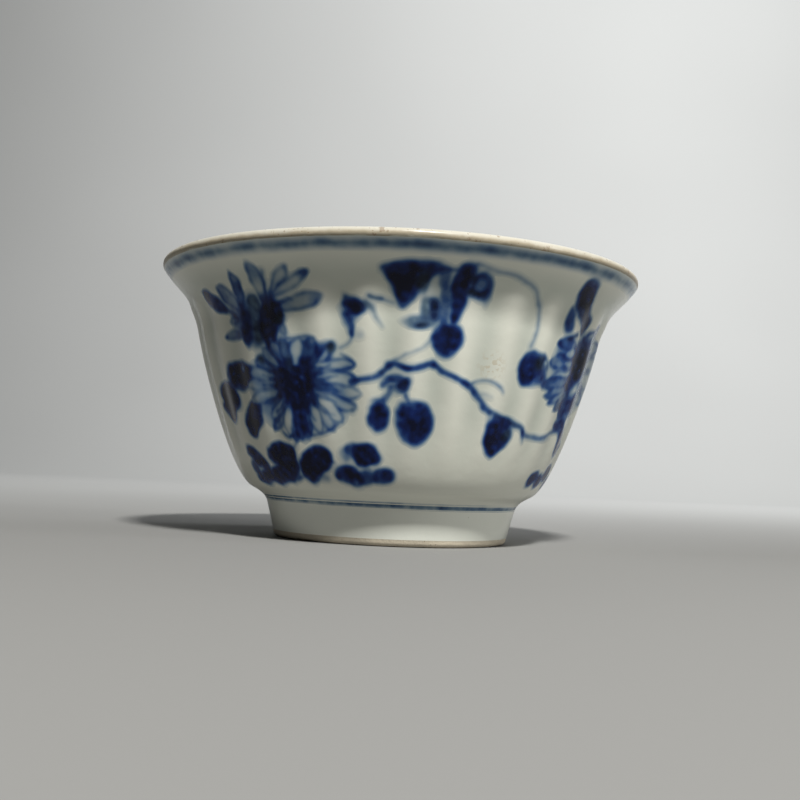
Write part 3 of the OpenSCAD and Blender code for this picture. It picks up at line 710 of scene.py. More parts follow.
sideLeafMarks = [
    petal(-50.4, 33.0, -60.6, 35.9, 2.1, 0.85, 0.8, soft=0.25),
    stroke([(-51.5, 33.4), (-49, 32.7), (-46, 31.9)], 0.45, 0.8),
    blob(-49.3, 23.9, 10.0, 3.3, 0.93, -8, soft=0.35), blob(-46.4, 23.2, 4.6, 2.6, 0.85, -25),
    blob(-53.5, 24.1, 4.2, 2.0, 0.85, 10), blob(-44.0, 24.6, 4.0, 1.0, 0.5, -8),
    patch([(-64.6, 21.4), (-61, 22.6), (-58, 23.0), (-54, 22.0), (-52.2, 20.8), (-53, 19.4), (-56.5, 18.6),
           (-59, 16.8), (-61.4, 17.6), (-66.4, 19.6), (-62.8, 20.6)], 0.9, soft=0.3),
    patch([(-52.2, 17.2), (-50, 18.6), (-47.5, 19.6), (-44.6, 19.8), (-42.6, 18.6), (-42, 17.0), (-44, 16.4),
           (-46.4, 15.8), (-48.6, 14.8), (-50.6, 15.4)], 0.97),
    blob(-47.6, 17.6, 10.4, 3.9, 0.97, 34, soft=0.35), blob(-49.4, 16.3, 5.0, 3.0, 0.96, 70, soft=0.35),
    blob(-44.8, 18.8, 6.0, 2.4, 0.93, 10, soft=0.35),
    blob(-58.4, 20.9, 12.6, 4.1, 0.9, -16, soft=0.4), blob(-59.8, 18.8, 7.4, 3.4, 0.86, -30, soft=0.4),
    blob(-55.2, 22.0, 5.0, 2.2, 0.86, soft=0.4),
    blob(-49.6, 24.4, 11.2, 3.0, 0.86, -4, soft=0.4), blob(-50.2, 23.0, 7.4, 3.0, 0.86, -12, soft=0.4),
    blob(-47.8, 24.8, 1.8, 0.9, 0.35, -30, soft=0.12, how="lift"), speck(-52.6, 24.2, 1.0),
    speck(-43.2, 18.3, 2.0, 0.16, 0),
    speck(-43.2, 17.7, 1.8, 0.14, 0), speck(-43.4, 17.1, 1.6, 0.14, 0)]

groundMarks = [
    blob(-52.0, 12.2, 9.4, 2.2, 0.93, -26, soft=0.35), blob(-48.0, 10.9, 4.4, 2.0, 0.9, -40, soft=0.35),
    blob(-51.0, 9.3, 11.4, 2.0, 0.93, 4, soft=0.35), blob(-54.8, 10.6, 4.4, 1.8, 0.8, soft=0.35),
    patch([(-44, 12.2), (-42, 13.6), (-38.5, 14.1), (-35, 14.3), (-32, 13.6), (-32.6, 11.4), (-35, 10.0),
           (-39, 10.6), (-42, 11.4)], 0.94),
    patch([(-47, 9.8), (-43.6, 10.7), (-39.6, 10.2), (-36, 9.9), (-38, 9.2), (-42.5, 8.5), (-45, 8.9)], 0.95),
    patch([(-31.6, 11.4), (-29.6, 12.6), (-27, 13.4), (-23.6, 13.8), (-21, 13.5), (-19.6, 12.2),
           (-20.4, 10.8),
           (-24, 10.2), (-25.6, 9.5), (-27.8, 9.2), (-30.6, 9.4), (-31.6, 10)], 0.98),
    blob(-25.6, 11.9, 12.0, 3.9, 0.98, 14, soft=0.35), blob(-27.0, 10.6, 8.6, 3.0, 0.98, 20, soft=0.35),
    blob(-21.6, 12.3, 5.6, 2.6, 0.96, soft=0.3),
    blob(-38.6, 12.6, 11.6, 3.3, 0.95, 6, soft=0.35), blob(-35.4, 11.2, 6.4, 3.4, 0.96, 30, soft=0.35),
    blob(-42.0, 9.7, 11.4, 2.4, 0.96, 4, soft=0.35),
    blob(-37.0, 9.7, 5.4, 1.7, 0.9, soft=0.35), blob(-8.8, 13.0, 7.6, 3.2, 0.93, 4, soft=0.35),
    blob(-5.4, 12.6, 3.2, 1.8, 0.86, -20, soft=0.35),
    stroke([(-20.6, 11.8), (-18.2, 11.7)], 0.5, 0.7, taper=True), blob(-32.8, 9.5, 3.0, 0.7, 0.7, 15),
    blob(-22.6, 9.4, 3.6, 1.0, 0.3, soft=0.35),
    blob(-14.4, 12.9, 4.2, 1.9, 0.42, 12, soft=0.35), blob(-12.4, 13.6, 4.6, 1.7, 0.62, 10, soft=0.35),
    patch([(-12.2, 12.4), (-11.2, 14.2), (-8.4, 14.7), (-6, 14.0), (-4.3, 12.8), (-6, 11.9), (-8.6, 11.2),
           (-11.2, 11.4)], 0.92),
    blob(-14.8, 10.2, 8.2, 2.6, 0.93, soft=0.35), blob(-12.0, 9.6, 5.0, 1.9, 0.9, soft=0.35),
    blob(-8.6, 9.8, 6.6, 1.8, 0.72, soft=0.4), blob(-8.2, 10.8, 3, 0.8, 0.4),
    blob(-2.8, 10.1, 7.4, 2.2, 0.9, 6, soft=0.35), stroke([(-34.5, 12.6), (-31.2, 14.4)], 0.35, 0.45),
    speck(-26, 9.6, 2.0, 0.16, 15), speck(-26.6, 9.2, 1.6, 0.14, 15), speck(-12.2, 9.2, 1.2, 0.2),
    speck(-7, 12.2, 0.6, 0.16),
    speck(-25, 12.6, 0.8, 0.14), speck(-37, 12.2, 0.8, 0.14, -20), speck(-31.8, 9.8, 1.6, 0.2, 20)]

sprigMarks = [
    blob(-11.8, 32.3, 5.4, 3.0, 0.36, soft=0.6), blob(-12.6, 30.9, 2.6, 3.0, 0.4, soft=0.5),
    blob(-10.4, 32.7, 5.0, 1.7, 0.66, -8, soft=0.35),
    patch([(-14.2, 34.6), (-12.3, 34.0), (-9.4, 33.4), (-7.8, 32.8), (-8.6, 31.9), (-11.2, 31.6),
           (-12.4, 32.6), (-12.6, 33.4)], 0.7, soft=0.25),
    blob(-9.4, 32.6, 3.2, 1.4, 0.5, -12, teal=0.4), blob(-11.2, 33.2, 3.4, 0.7, 0.55, -10),
    stroke([(-7.8, 33.2), (-6.4, 32.6), (-5.6, 31.4), (-3.8, 30.0)], 0.85, 0.55, teal=0.75, taper=True,
            soft=0.25),
    stroke([(-6.9, 34.1), (-5.6, 33.9), (-4.3, 33.9)], 0.4, 0.8, teal=0.8),
    stroke([(-4.4, 33.9), (-1.6, 33.4)], 0.25, 0.4),
    stroke([(-13.2, 34.0), (-13.0, 32.2), (-12.6, 31.0), (-11.9, 29.4)], 0.6, 0.6, soft=0.25),
    stroke([(-12.0, 30.2), (-11.9, 29.2)], 0.55, 0.7),
    stroke([(-11.9, 29.2), (-12.9, 28), (-14.6, 27.3)], 0.34, 0.5),
    blob(-9.6, 29, 1.8, 1.0, 0.2, soft=0.4)]

crownMarks = [
    patch([(-5.2, 37.5), (-3, 38.1), (1, 38.3), (4, 38.6), (6.2, 38.8), (8.4, 38.3), (9.6, 37.6), (8, 36.8),
           (6.6, 35.8),
           (5, 35.2), (3.5, 34.0), (2, 33.2), (0.4, 32.4), (-1.3, 33.8), (-2.3, 35.5), (-3.6, 36.6)], 0.86,
           soft=0.28),
    patch([(-4.8, 37.6), (-1, 38.1), (3, 38.3), (4.6, 37.6), (3.8, 36.2), (2.8, 34.6), (0.6, 33.2),
           (-1, 34.2), (-2.2, 35.8)], 0.98, soft=0.2),
    blob(5.4, 36.1, 3.2, 3.0, 0.7, teal=0.8, soft=0.4), blob(7.8, 37.7, 3.6, 1.8, 0.5, -20, soft=0.3),
    stroke([(9.2, 37.6), (12.2, 37.8)], 0.34, 0.75),
    blob(8.0, 35.0, 1.9, 2.0, 0.08, soft=0.3, how="lift"), speck(4, 36.9, 0.7, 0.3),
    speck(5.0, 37.2, 0.6, 0.2), speck(-4, 37.2, 0.8, 0.2)]

dropMarks = [
    stroke([(9.8, 37.6), (10.4, 35), (10.6, 32.6), (10.4, 30.6)], 1.15, 0.56, soft=0.25),
    patch([(11.8, 36.6), (12.4, 38.2), (14.2, 38.8), (17.2, 38.4), (16.6, 37.2), (15.8, 36), (15.6, 33.6),
           (14.6, 32.4),
           (13.9, 31), (12.2, 31), (11.9, 33.5)], 0.93, soft=0.3),
    blob(12.2, 28.9, 7.8, 4.2, 0.88, soft=0.4), blob(10.4, 29.6, 3.8, 2.6, 0.35, soft=0.5),
    blob(13.2, 29, 4.6, 2.8, 0.6, soft=0.5),
    blob(18.9, 36.1, 5.6, 3.5, 0.84, soft=0.4), blob(21.0, 35.6, 2.0, 3.0, 0.5, soft=0.5),
    blob(18.8, 36.2, 2.9, 1.8, 0.4, soft=0.3, how="lift"), blob(17.2, 35.0, 3.4, 1.2, 0.9, -25, teal=0.85),
    blob(16.6, 36.8, 1.4, 1.6, 0.7, teal=0.5),
    blob(19.6, 34.8, 2.6, 0.9, 0.7, 8, teal=0.5), speck(16.8, 34.9, 0.6, 0.2), speck(17.8, 34.6, 0.6, 0.2),
    speck(16.0, 36.2, 0.5, 0.3)]

smallLeafMarks = [
    blob(4.9, 31.0, 7.4, 1.9, 0.62, 4, teal=0.6, soft=0.4), blob(5.6, 30.6, 2.6, 0.8, 0.9, -5, teal=0.9),
    blob(6.3, 32.9, 2.6, 2.6, 0.6, teal=0.8, soft=0.4),
    patch([(7.2, 31.2), (6.9, 33.8), (8.0, 34.3), (9.4, 33.8), (9.6, 31.2)], 0.84, teal=0.45, soft=0.3),
    speck(3.6, 31.4, 0.7, 0.2), speck(6.4, 33.0, 0.4, 0.7)]

tendrilMarks = [
    stroke([(16.6, 38.6), (20, 38.35), (25, 38.0), (30, 37.3), (34, 36), (36.5, 34.3), (37.5, 32.4),
            (37.1, 30.6), (36.1, 28.8)], 0.3, 0.58, soft=0.18),
    blob(39.5, 26.0, 11.0, 4.4, 0.6, -4, soft=0.5), blob(37.2, 26.1, 6.6, 4.4, 0.94, soft=0.35),
    blob(41.0, 26.8, 4.0, 2.8, 0.68, teal=0.7, soft=0.45),
    stroke([(41.5, 28.2), (43.6, 27.4), (44.8, 26.5)], 0.6, 0.5, teal=0.3, soft=0.3),
    blob(42.6, 24.9, 5.8, 1.8, 0.5, soft=0.4), blob(43.2, 27.0, 1.8, 0.8, 0.1, how="lift"),
    speck(37, 26.4, 0.6, 0.2), speck(38.4, 25.4, 0.7, 0.16)]

branchMarks = [
    stroke([(-12.2, 22.8), (-11, 23), (-8, 23.2), (-5, 23.6), (-3.5, 24.3), (-2, 25.1)], 0.72, 0.68,
            soft=0.22),
    stroke([(-2.2, 24.9), (-0.8, 25.3), (1, 25.0), (3, 24.8), (6, 25.0), (8, 25.5), (10, 25.6), (12, 24.8),
            (14, 24.3), (17, 23.8), (19, 23.2)], 0.62, 0.88, soft=0.2),
    stroke([(18, 23.5), (20.5, 22.4), (23, 21.3), (25.5, 20.2), (27.4, 19.5)], 0.85, 0.78, soft=0.22),
    stroke([(27, 19.6), (30, 19.3), (34, 18.8), (37, 18.3), (40, 17.6), (41.8, 16.9)], 0.6, 0.85, teal=0.5,
            soft=0.2),
    stroke([(41, 17.3), (42, 16.6), (42.8, 15.9)], 0.55, 0.55, teal=0.3, taper=True, soft=0.3),
    stroke([(41.5, 16.9), (46, 16.8), (51, 16.9), (56, 17.3), (60, 17.8)], 0.6, 0.6, soft=0.25),
    blob(53, 16.6, 7, 0.9, 0.3, soft=0.4),
    blob(-2.0, 25.1, 1.9, 1.1, 0.97, 40), stroke([(-3.8, 24.0), (-2.6, 24.8)], 0.5, 0.92, teal=0.4),
    stroke([(-1.4, 25.6), (0.4, 26.0), (3, 26.6), (6, 27.5), (7.8, 28.6), (8.4, 29.4)], 0.24, 0.5, soft=0.16),
    stroke([(20.2, 23.3), (22, 23.7), (24.5, 23.85), (27, 23.7), (29.2, 23.2), (31, 22.4)], 0.3, 0.6),
    stroke([(23.5, 21.9), (25, 22.0), (27, 21.8)], 0.24, 0.25), blob(9.4, 25.6, 2.2, 0.9, 0.85)]

budMarks = [
    stroke([(-3.4, 22.5), (-2.2, 23.2), (0.2, 23.5), (2.2, 23.1)], 1.0, 0.72, soft=0.3),
    blob(2.3, 22.6, 3.2, 2.2, 0.92, -30, teal=0.3, soft=0.3),
    blob(0.4, 22.1, 2.4, 1.5, 0.5, teal=0.3, soft=0.3),
    stroke([(-1.2, 22.2), (-1.8, 21.2), (-3.2, 20.5)], 0.75, 0.56, soft=0.25),
    stroke([(3.1, 21.4), (3.3, 20.2)], 0.4, 0.7), stroke([(-7.0, 20.2), (-5.6, 20.5), (-3, 20.5)], 0.24, 0.4),
    blob(-4.6, 18.3, 5.9, 4.2, 0.9, -8, soft=0.35), blob(5.7, 17.6, 10.4, 5.9, 0.84, soft=0.45),
    blob(6.4, 17.0, 7.0, 4.4, 0.7, soft=0.7),
    blob(1.8, 19.0, 2.6, 2.2, 0.6, soft=0.5), blob(6.4, 16.6, 1.1, 1.2, 0.6, soft=0.2),
    patch([(27.4, 19.4), (30, 19.2), (34.4, 18.9), (36.4, 17.8), (37.6, 16.8), (36.6, 15.4), (34.4, 14.2),
           (31, 13.3), (28.6, 13.9), (27.3, 15.6), (27.6, 17.4)], 0.86, soft=0.4),
    blob(30.3, 16.6, 5.2, 4.0, 0.9, soft=0.6), blob(35.6, 16.9, 3.0, 1.8, 0.4, teal=0.8, soft=0.4),
    blob(28.0, 18.9, 2.2, 1.0, 0.25, how="lift", soft=0.3)]

rightMumMarks = [
    blob(52, 27.8, 12, 7.6, 0.3, soft=1.2), blob(70, 26.6, 14, 11, 0.3, soft=1.8),
    petal(57, 30.0, 47.0, 30.4, 1.5, 0.55, 0.62), petal(57.5, 28.6, 45.2, 27.4, 2.0, 0.5, 0.66),
    petal(58, 29.2, 50.6, 29.0, 1.4, 0.1, 0.4),
    petal(58, 27.5, 51, 27.9, 1.0, 0.12, 0.3), petal(58.4, 26.6, 47.0, 25.0, 1.8, 0.06, 0.5),
    petal(59, 25.4, 43.8, 24.1, 1.7, 0.52, 0.66, tip=0.3),
    petal(59, 24.4, 46.8, 22.7, 1.5, 0.42, 0.6), petal(60, 24.0, 49.2, 21.7, 1.3, 0.3, 0.55, tip=0.6),
    petal(60, 23.4, 53.0, 20.9, 1.8, 0.6, 0.7, teal=0.4),
    petal(61, 22.6, 58.5, 19.8, 1.7, 0.5, 0.6), petal(62.5, 22.6, 62.4, 18.8, 1.8, 0.4, 0.55),
    petal(64.5, 23.4, 68.4, 20.0, 1.8, 0.3, 0.55),
    petal(65, 25.0, 75, 22.6, 2.0, 0.18, 0.5), petal(65.5, 26.6, 78.5, 25.6, 2.0, 0.12, 0.5),
    petal(65.5, 28.2, 79.5, 28.6, 2.0, 0.14, 0.52),
    petal(65, 29.8, 76.5, 31.6, 1.9, 0.18, 0.55), petal(63.6, 31.2, 70, 34.2, 1.7, 0.2, 0.6, tip=0.4),
    blob(60.8, 28.6, 9.4, 7.4, 0.8, soft=0.9), blob(61.6, 28.2, 6.4, 5.0, 0.93, teal=0.5, soft=0.6),
    blob(58.2, 24.8, 6.6, 2.0, 0.6, -12, soft=0.5),
    blob(62, 22.0, 8.5, 3.2, 0.6, soft=0.7),
    stroke([(59.8, 31.8), (62, 32.8), (65, 32.9), (67.2, 32.4)], 0.5, 0.72),
    speck(61, 28.9), speck(60.2, 27.8), speck(62.3, 27.2), speck(61.6, 29.6, 0.6, 0.2)]

rightLeafMarks = [
    patch([(46.6, 39.2), (51.4, 39.2), (54, 37.9), (56, 36.4), (57.6, 35.2), (60.2, 34.9), (60.6, 34.2),
           (58.6, 32.8),
           (57.2, 31.6), (55.8, 33.4), (52.6, 33.7), (50, 34.6), (48.4, 36)], 0.86, teal=0.35, soft=0.3),
    blob(50.4, 37.4, 5.0, 3.2, 0.6, -50, soft=0.5),
    stroke([(53.6, 36.2), (54.8, 34.8)], 0.6, 0.9, teal=0.7),
    stroke([(54.0, 37.6), (55.4, 36.6)], 0.5, 0.9, teal=0.6),
    patch([(47.6, 35.6), (49.6, 34.9), (50.4, 33.6), (51.4, 32.6), (50.6, 31.8), (48.2, 31.9),
           (47.4, 33.4)], 0.7, soft=0.35),
    stroke([(50.2, 30.9), (52, 31.2)], 0.55, 0.93, teal=0.6),
    stroke([(52.4, 31.3), (55, 31.8)], 0.5, 0.9, teal=0.7),
    patch([(56.6, 18.6), (59, 19.8), (63, 19.7), (65.4, 18.4), (69.4, 17.0), (71.4, 15.8), (68, 14.2),
           (65, 13.9), (64, 15.8), (62.8, 17.6), (59.4, 17.7)], 0.78, soft=0.4),
    blob(67.4, 15.6, 5, 2.0, 0.6, -10, teal=0.3),
    blob(57.6, 10.6, 6.6, 2.3, 0.9, 6), blob(63.6, 10.4, 6.0, 2.0, 0.88, -6),
    blob(69.2, 11.6, 6.4, 2.6, 0.93, 10), blob(75.5, 10.2, 5.4, 1.8, 0.7), speck(69.4, 11.8, 1.0, 0.14)]

rightBranchMarks = [
    stroke([(91, 26.2), (94, 27.4), (97.5, 28), (101, 27.8), (105, 26.6), (109, 25.3), (113, 24.6),
            (117, 24.8), (121, 24.6), (125, 23.6), (131, 22.8)], 0.7, 0.85, soft=0.2),
    stroke([(95, 28), (96, 30.4), (98.4, 33), (102, 35.2), (107, 36.2), (113, 36.8)], 0.32, 0.62),
    petal(112.5, 36.7, 124.4, 37.4, 2.4, 0.84, 0.8, soft=0.25),
    stroke([(102.4, 27.2), (102, 24.6), (102.6, 22.4)], 0.34, 0.66),
    stroke([(119.4, 24.6), (120.2, 23.2)], 0.4, 0.75), blob(97.6, 28.1, 2, 1.0, 0.96, 20),
    stroke([(107, 26.2), (110, 27.6), (113.4, 28.2), (116.4, 27.4)], 0.24, 0.45, taper=True)]

rightBudMarks = [
    blob(102.6, 19.8, 8.2, 5.1, 0.88, 6, soft=0.4), blob(103.4, 19.2, 5.0, 3.4, 0.6, soft=0.6),
    blob(120.4, 20.6, 7.2, 4.7, 0.86, -12, soft=0.4),
    blob(121.4, 20.2, 4.2, 3.2, 0.6, soft=0.5), blob(130, 18, 5.4, 4.0, 0.84, soft=0.35),
    stroke([(129, 22.8), (130, 20)], 0.4, 0.7),
    petal(108.6, 29.8, 118.6, 32.4, 2.0, 0.76, 0.7, teal=0.5, soft=0.25),
    blob(104.2, 20.6, 3.0, 1.6, 0.3, teal=0.6, soft=0.4), speck(120.8, 21.2)]

backMumMarks = moved(mumMarks, -27.5, 166, size=1.04, up=-0.4)
backHalfMarks = moved(halfMumMarks, -34.6, 154.4, flip=-1, up=0.6)
backGroundMarks = moved(groundMarks, -24, 172, flip=-1, up=0.1)
backBranchMarks = [
    stroke([(200, 21), (206, 22.4), (212, 22), (217.6, 20.6), (223, 20.4), (229, 21.8), (234.4, 24.2),
            (239.6, 25), (245, 24.4)], 0.75, 0.85, soft=0.2),
    stroke([(211, 22.2), (212, 25.6), (217, 28.4), (223, 29.5)], 0.34, 0.6),
    stroke([(233, 24.2), (234.4, 28), (231.6, 31.6), (226, 34.4), (218, 35.8), (211, 35.3)], 0.32, 0.62),
    blob(211.4, 22.4, 2.2, 1.1, 0.96, 20),
    stroke([(238, 25), (240, 26.6), (244, 27.2)], 0.28, 0.5, taper=True)]
backBudMarks = [
    blob(205.4, 17.4, 7.0, 4.7, 0.88, 8, soft=0.4), stroke([(206, 22), (205.8, 19.6)], 0.4, 0.7),
    blob(222, 15.6, 9.4, 5.3, 0.86, soft=0.45), blob(223, 15, 6, 3.6, 0.6, soft=0.6),
    stroke([(221, 20.4), (221.6, 18)], 0.42, 0.75), blob(238, 19.6, 6.6, 4.7, 0.88, -12, soft=0.4),
    stroke([(236.4, 24.4), (237.4, 21.6)], 0.4, 0.7), blob(226.6, 29.4, 5.2, 3.2, 0.9, -30),
    blob(207.6, 35.2, 6.2, 3.6, 0.86, 20, soft=0.4),
    petal(234.6, 32.4, 241, 37.2, 2.7, 0.84, 0.8, soft=0.25),
    blob(206.4, 35.6, 3, 1.6, 0.3, teal=0.7, soft=0.4), speck(222.6, 16, 1, 0.16)]

motifs = [
    ("rimLine", "rim_line", "line_blue", []), ("footLine", "foot_line", "line_blue", []),
    ("sideLeavesFront", "side_leaves_front", "navy", sideLeafMarks),
    ("halfMumFront", "half_mum_front", "navy", halfMumMarks), ("mumFront", "mum_front", "cobalt", mumMarks),
    ("groundLeavesFront", "ground_leaves_front", "navy", groundMarks),
    ("sprigFront", "sprig_front", "cobalt", sprigMarks),
    ("smallLeafFront", "small_leaf_front", "navy", smallLeafMarks),
    ("dropLeafFront", "drop_leaf_front", "navy", dropMarks),
    ("crownLeafFront", "crown_leaf_front", "navy", crownMarks),
    ("branchFront", "branch_front", "cobalt", branchMarks),
    ("budsFront", "buds_front", "cobalt", budMarks),
    ("tendrilFront", "tendril_front", "cobalt", tendrilMarks),
    ("mumRight", "mum_right", "cobalt", rightMumMarks), ("leafRight", "leaf_right", "navy", rightLeafMarks),
    ("branchRight", "branch_right", "cobalt", rightBranchMarks),
    ("budsRight", "buds_right", "cobalt", rightBudMarks),
    ("branchBack", "branch_back", "cobalt", backBranchMarks), ("budsBack", "buds_back", "navy", backBudMarks),
    ("halfMumBack", "half_mum_back", "navy", backHalfMarks), ("mumBack", "mum_back", "cobalt", backMumMarks),
    ("groundLeavesBack", "ground_leaves_back", "navy", backGroundMarks)]

sheet = dict(columns=1440, rows=270, low=5.25, high=41.05, seam=-100.0, margin=0.62)
degrees = sheet["seam"] + 360 * np.arange(sheet["columns"]) / sheet["columns"]
heights = np.linspace(sheet["low"], sheet["high"], sheet["rows"])
gridS, gridZ = np.meshgrid(degrees * perDegree, heights)
wander = inkField(3, 1.1)(gridS, gridZ), inkField(4, 1.1)(gridS, gridZ)
ripple = inkField(5, 0.35)(gridS, gridZ)
flow = inkField(6, 0.9)(gridS, gridZ)
inkS, inkZ = gridS + 0.11 * wander[0] + 0.05 * ripple, gridZ + 0.10 * wander[1] + 0.04 * flow
pigment = np.zeros(gridS.shape)
teal = np.zeros(gridS.shape)
nearest = np.full(gridS.shape, 9.0)
owner = np.full(gridS.shape, -1)


def cover(edge, soft):
    t = np.clip(0.5 - edge / (2 * soft), 0, 1)
    return t * t * (3 - 2 * t)


brush = dict(pad=1.3, wash=0.08, edgeWidth=0.2, haloDepth=0.16, haloReach=0.24, tipFrom=0.68, tipOver=0.3)


def layMark(mark, index):
    x0, x1, z0, z1 = mark["box"]
    pad = brush["pad"]
    for turn in (-360 * perDegree, 0, 360 * perDegree):
        c0, c1 = np.searchsorted(gridS[0], [x0 + turn - pad, x1 + turn + pad])
        r0, r1 = np.searchsorted(heights, [z0 - pad, z1 + pad])
        if c0 >= c1 or r0 >= r1:
            continue
        w = (slice(r0, r1), slice(c0, c1))
        s, z = inkS[w] - turn, inkZ[w]
        edge = mark["distance"](s, z)
        a = cover(edge, mark["soft"])
        if mark["how"] == "petal":
            t = np.clip(mark["along"](s, z), 0, 1)
            tip = np.clip((t - brush["tipFrom"]) / brush["tipOver"], 0, 1) ** 2
            inner = mark["fill"] + brush["wash"] + mark["base"] * (1 - t) ** 1.5 + mark["tip"] * tip
            inner = np.clip(inner * (1 + 0.25 * flow[w]), 0, 0.98)
            pigment[w] = pigment[w] * (1 - a) + inner * a
            ring = np.exp(-(edge / brush["edgeWidth"]) ** 2) * mark["edge"] * (0.98 + 0.25 * flow[w])
            pigment[w] = 1 - (1 - pigment[w]) * (1 - np.clip(ring, 0, 0.95))
        elif mark["how"] == "lift":
            pigment[w] = pigment[w] * (1 - a) + mark["d"] * a
        else:
            d = np.clip(mark["d"] * (1 + 0.06 * flow[w]), 0, 0.99)
            pigment[w] = 1 - (1 - pigment[w]) * (1 - d * a)
            halo = brush["haloDepth"] * mark["d"] * np.exp(-np.maximum(edge, 0) / brush["haloReach"])
            pigment[w] = np.maximum(pigment[w], halo)
        teal[w] = np.maximum(teal[w] * (1 - a), mark["teal"] * a)
        closer = edge < nearest[w]
        nearest[w] = np.where(closer, edge, nearest[w])
        owner[w] = np.where(closer, index, owner[w])


for index, (_, _, _, marks) in enumerate(motifs):
    for mark in marks:
        layMark(mark, index)
fadeOut = np.clip((sheet["margin"] - nearest) / 0.3, 0, 1)
pigment *= fadeOut


def soften(field, width):
    # ink sinks and spreads a little under the glaze
    reach = int(width * 3) + 1
    taps = np.exp(-0.5 * (np.arange(-reach, reach + 1) / width) ** 2)
    taps /= taps.sum()
    across = sum(t * np.roll(field, k - reach, axis=1) for k, t in enumerate(taps))
    padded = np.pad(across, ((reach, reach), (0, 0)), mode="edge")
    return sum(t * padded[k:k + field.shape[0]] for k, t in enumerate(taps))


pigment = 0.72 * soften(pigment, 1.35) + 0.28 * soften(pigment, 4.2)
teal = soften(teal, 2.0)

# the two ruled lines, brushed on a turning wheel
around = gridS / perDegree * math.pi / 180
lineWave = 0.6 * np.sin(3 * around + 0.4) + 0.5 * np.sin(8 * around + 2) + 0.4 * np.sin(19 * around + 1)
rimMiddle = 40.28 + 0.05 * lineWave
footMiddle = 6.0 - 0.25 * np.sin(around) + 0.05 * lineWave
lines = [
    dict(index=0, middle=rimMiddle, half=0.52, soft=0.62, d=0.5, low=39.2, high=sheet["high"]),
    dict(index=1, middle=footMiddle, half=0.36, soft=0.34, d=0.52, low=sheet["low"], high=7.0)]
for line in lines:
    edge = np.abs(gridZ - line["middle"]) - line["half"]
    a = cover(edge, line["soft"])
    drawn = line["d"] * a * (1 + 0.14 * lineWave + 0.12 * flow)
    pigment = 1 - (1 - pigment) * (1 - np.clip(drawn, 0, 0.9))
    band = (gridZ > line["low"]) & (gridZ < line["high"])
    owner = np.where(band & (edge < nearest), line["index"], owner)
    nearest = np.where(band, np.minimum(nearest, edge), nearest)
    teal = np.maximum(teal, 0.6 * a)
pigment = np.clip(pigment * (1 + 0.05 * ripple), 0, 1)
print("painting laid out", round(float(pigment.mean()), 3))


tileLook = dict(thick=0.055, sink=0.018, sinkFrom=0.15, sinkOver=0.42)


def makeTile(name, index):
    # a thin closed leaf of painted glaze, cut along the sheet's cells
    right = np.roll(nearest, -1, axis=1)
    closest = np.minimum(np.minimum(nearest[:-1], nearest[1:]), np.minimum(right[:-1], right[1:]))
    mask = (closest < sheet["margin"]) & (owner[:-1, :] == index)
    rows, cols = np.nonzero(mask)
    n = sheet["columns"]
    nextCols = (cols + 1) % n
    corner = [rows * n + cols, rows * n + nextCols, (rows + 1) * n + nextCols, (rows + 1) * n + cols]
    used, flat = np.unique(np.stack(corner, 1).ravel(), return_inverse=True)
    quads = flat.reshape(-1, 4)
    count = len(used)
    ur, uc = used // n, used % n
    a = np.radians(degrees[uc])
    # the leaf's edge sinks under the plain glaze around it
    sunk = np.clip((nearest[ur, uc] - tileLook["sinkFrom"]) / tileLook["sinkOver"], 0, 1)
    sunk = tileLook["sink"] * sunk ** 2
    points = []
    for depth, drop in ((0.0, sunk), (tileLook["thick"], 0)):
        r = radiusAt(heights[ur], depth) - drop
        points.append(np.stack([r * np.sin(a), -r * np.cos(a), heights[ur]], 1))
    up = np.zeros_like(mask)
    up[:-1] = mask[1:]
    down = np.zeros_like(mask)
    down[1:] = mask[:-1]
    toRight, toLeft = np.roll(mask, -1, axis=1), np.roll(mask, 1, axis=1)
    sides = []
    for neighbour, i, j in ((down, 0, 1), (toRight, 1, 2), (up, 2, 3), (toLeft, 3, 0)):
        lone = ~neighbour[rows, cols]
        q = quads[lone]
        sides.append(np.stack([q[:, j], q[:, i], q[:, i] + count, q[:, j] + count], 1))
    faces = np.concatenate([quads, quads[:, ::-1] + count] + sides)
    me = meshFrom(name, np.concatenate(points), faces.ravel(), np.full(len(faces), 4))
    for label, field in (("pigment", pigment), ("teal", teal)):
        attribute = me.attributes.new(label, "FLOAT", "POINT")
        values = field[ur, uc].astype(np.float32)
        attribute.data.foreach_set("value", np.concatenate([values, values]))
    return addObject(name, me, glazeOutside), len(faces)


total = 0
for index, (name, node, slotName, _) in enumerate(motifs):
    tile, size = makeTile(name, index)
    applyTree(tile, fluteTree, fluteValues)
    smooth(tile)
    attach(tile, "root")
    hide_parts(node)
    total += size
print("painted leaves made, quads", total)


# the plain parts of the cup
def hand(obj, node, angle=40):
    smooth(obj, angle)
    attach(obj, "root")
    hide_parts(node)


coatT = shape["glazeT"]
paintT = 0.08
skinIn = 0.01    # the plain glaze lies this much under the painted leaves
outer = outlineBetween(skinIn, shape["footLineLow"], shape["lineTop"], 96)
inner = outlineBetween(coatT - paintT, shape["footLineLow"], shape["lineTop"], 24)
wall = lathe("outerGlaze", outer + inner[::-1], 720, glazeOutside)
applyTree(wall, fluteTree, fluteValues)
hand(wall, "outer_glaze")

lipShape = dict(radius=0.77, backRadius=0.3, low=40.9, linerTop=40.6, steps=19, backSteps=9)
liner = [p for p in bowlLine(0) if p[1] < lipShape["linerTop"]]
linerBack = [p for p in bowlLine(coatT) if p[1] < lipShape["linerTop"]]
hand(lathe("innerGlaze", liner + linerBack[::-1], 360, glazeInsideShaded), "inner_glaze")


def lipArc(radius, steps):
    return [tuple(lipCentre + radius * (math.cos(a) * lipOut + math.sin(a) * lipLean))
            for a in np.linspace(0, math.pi, steps)]


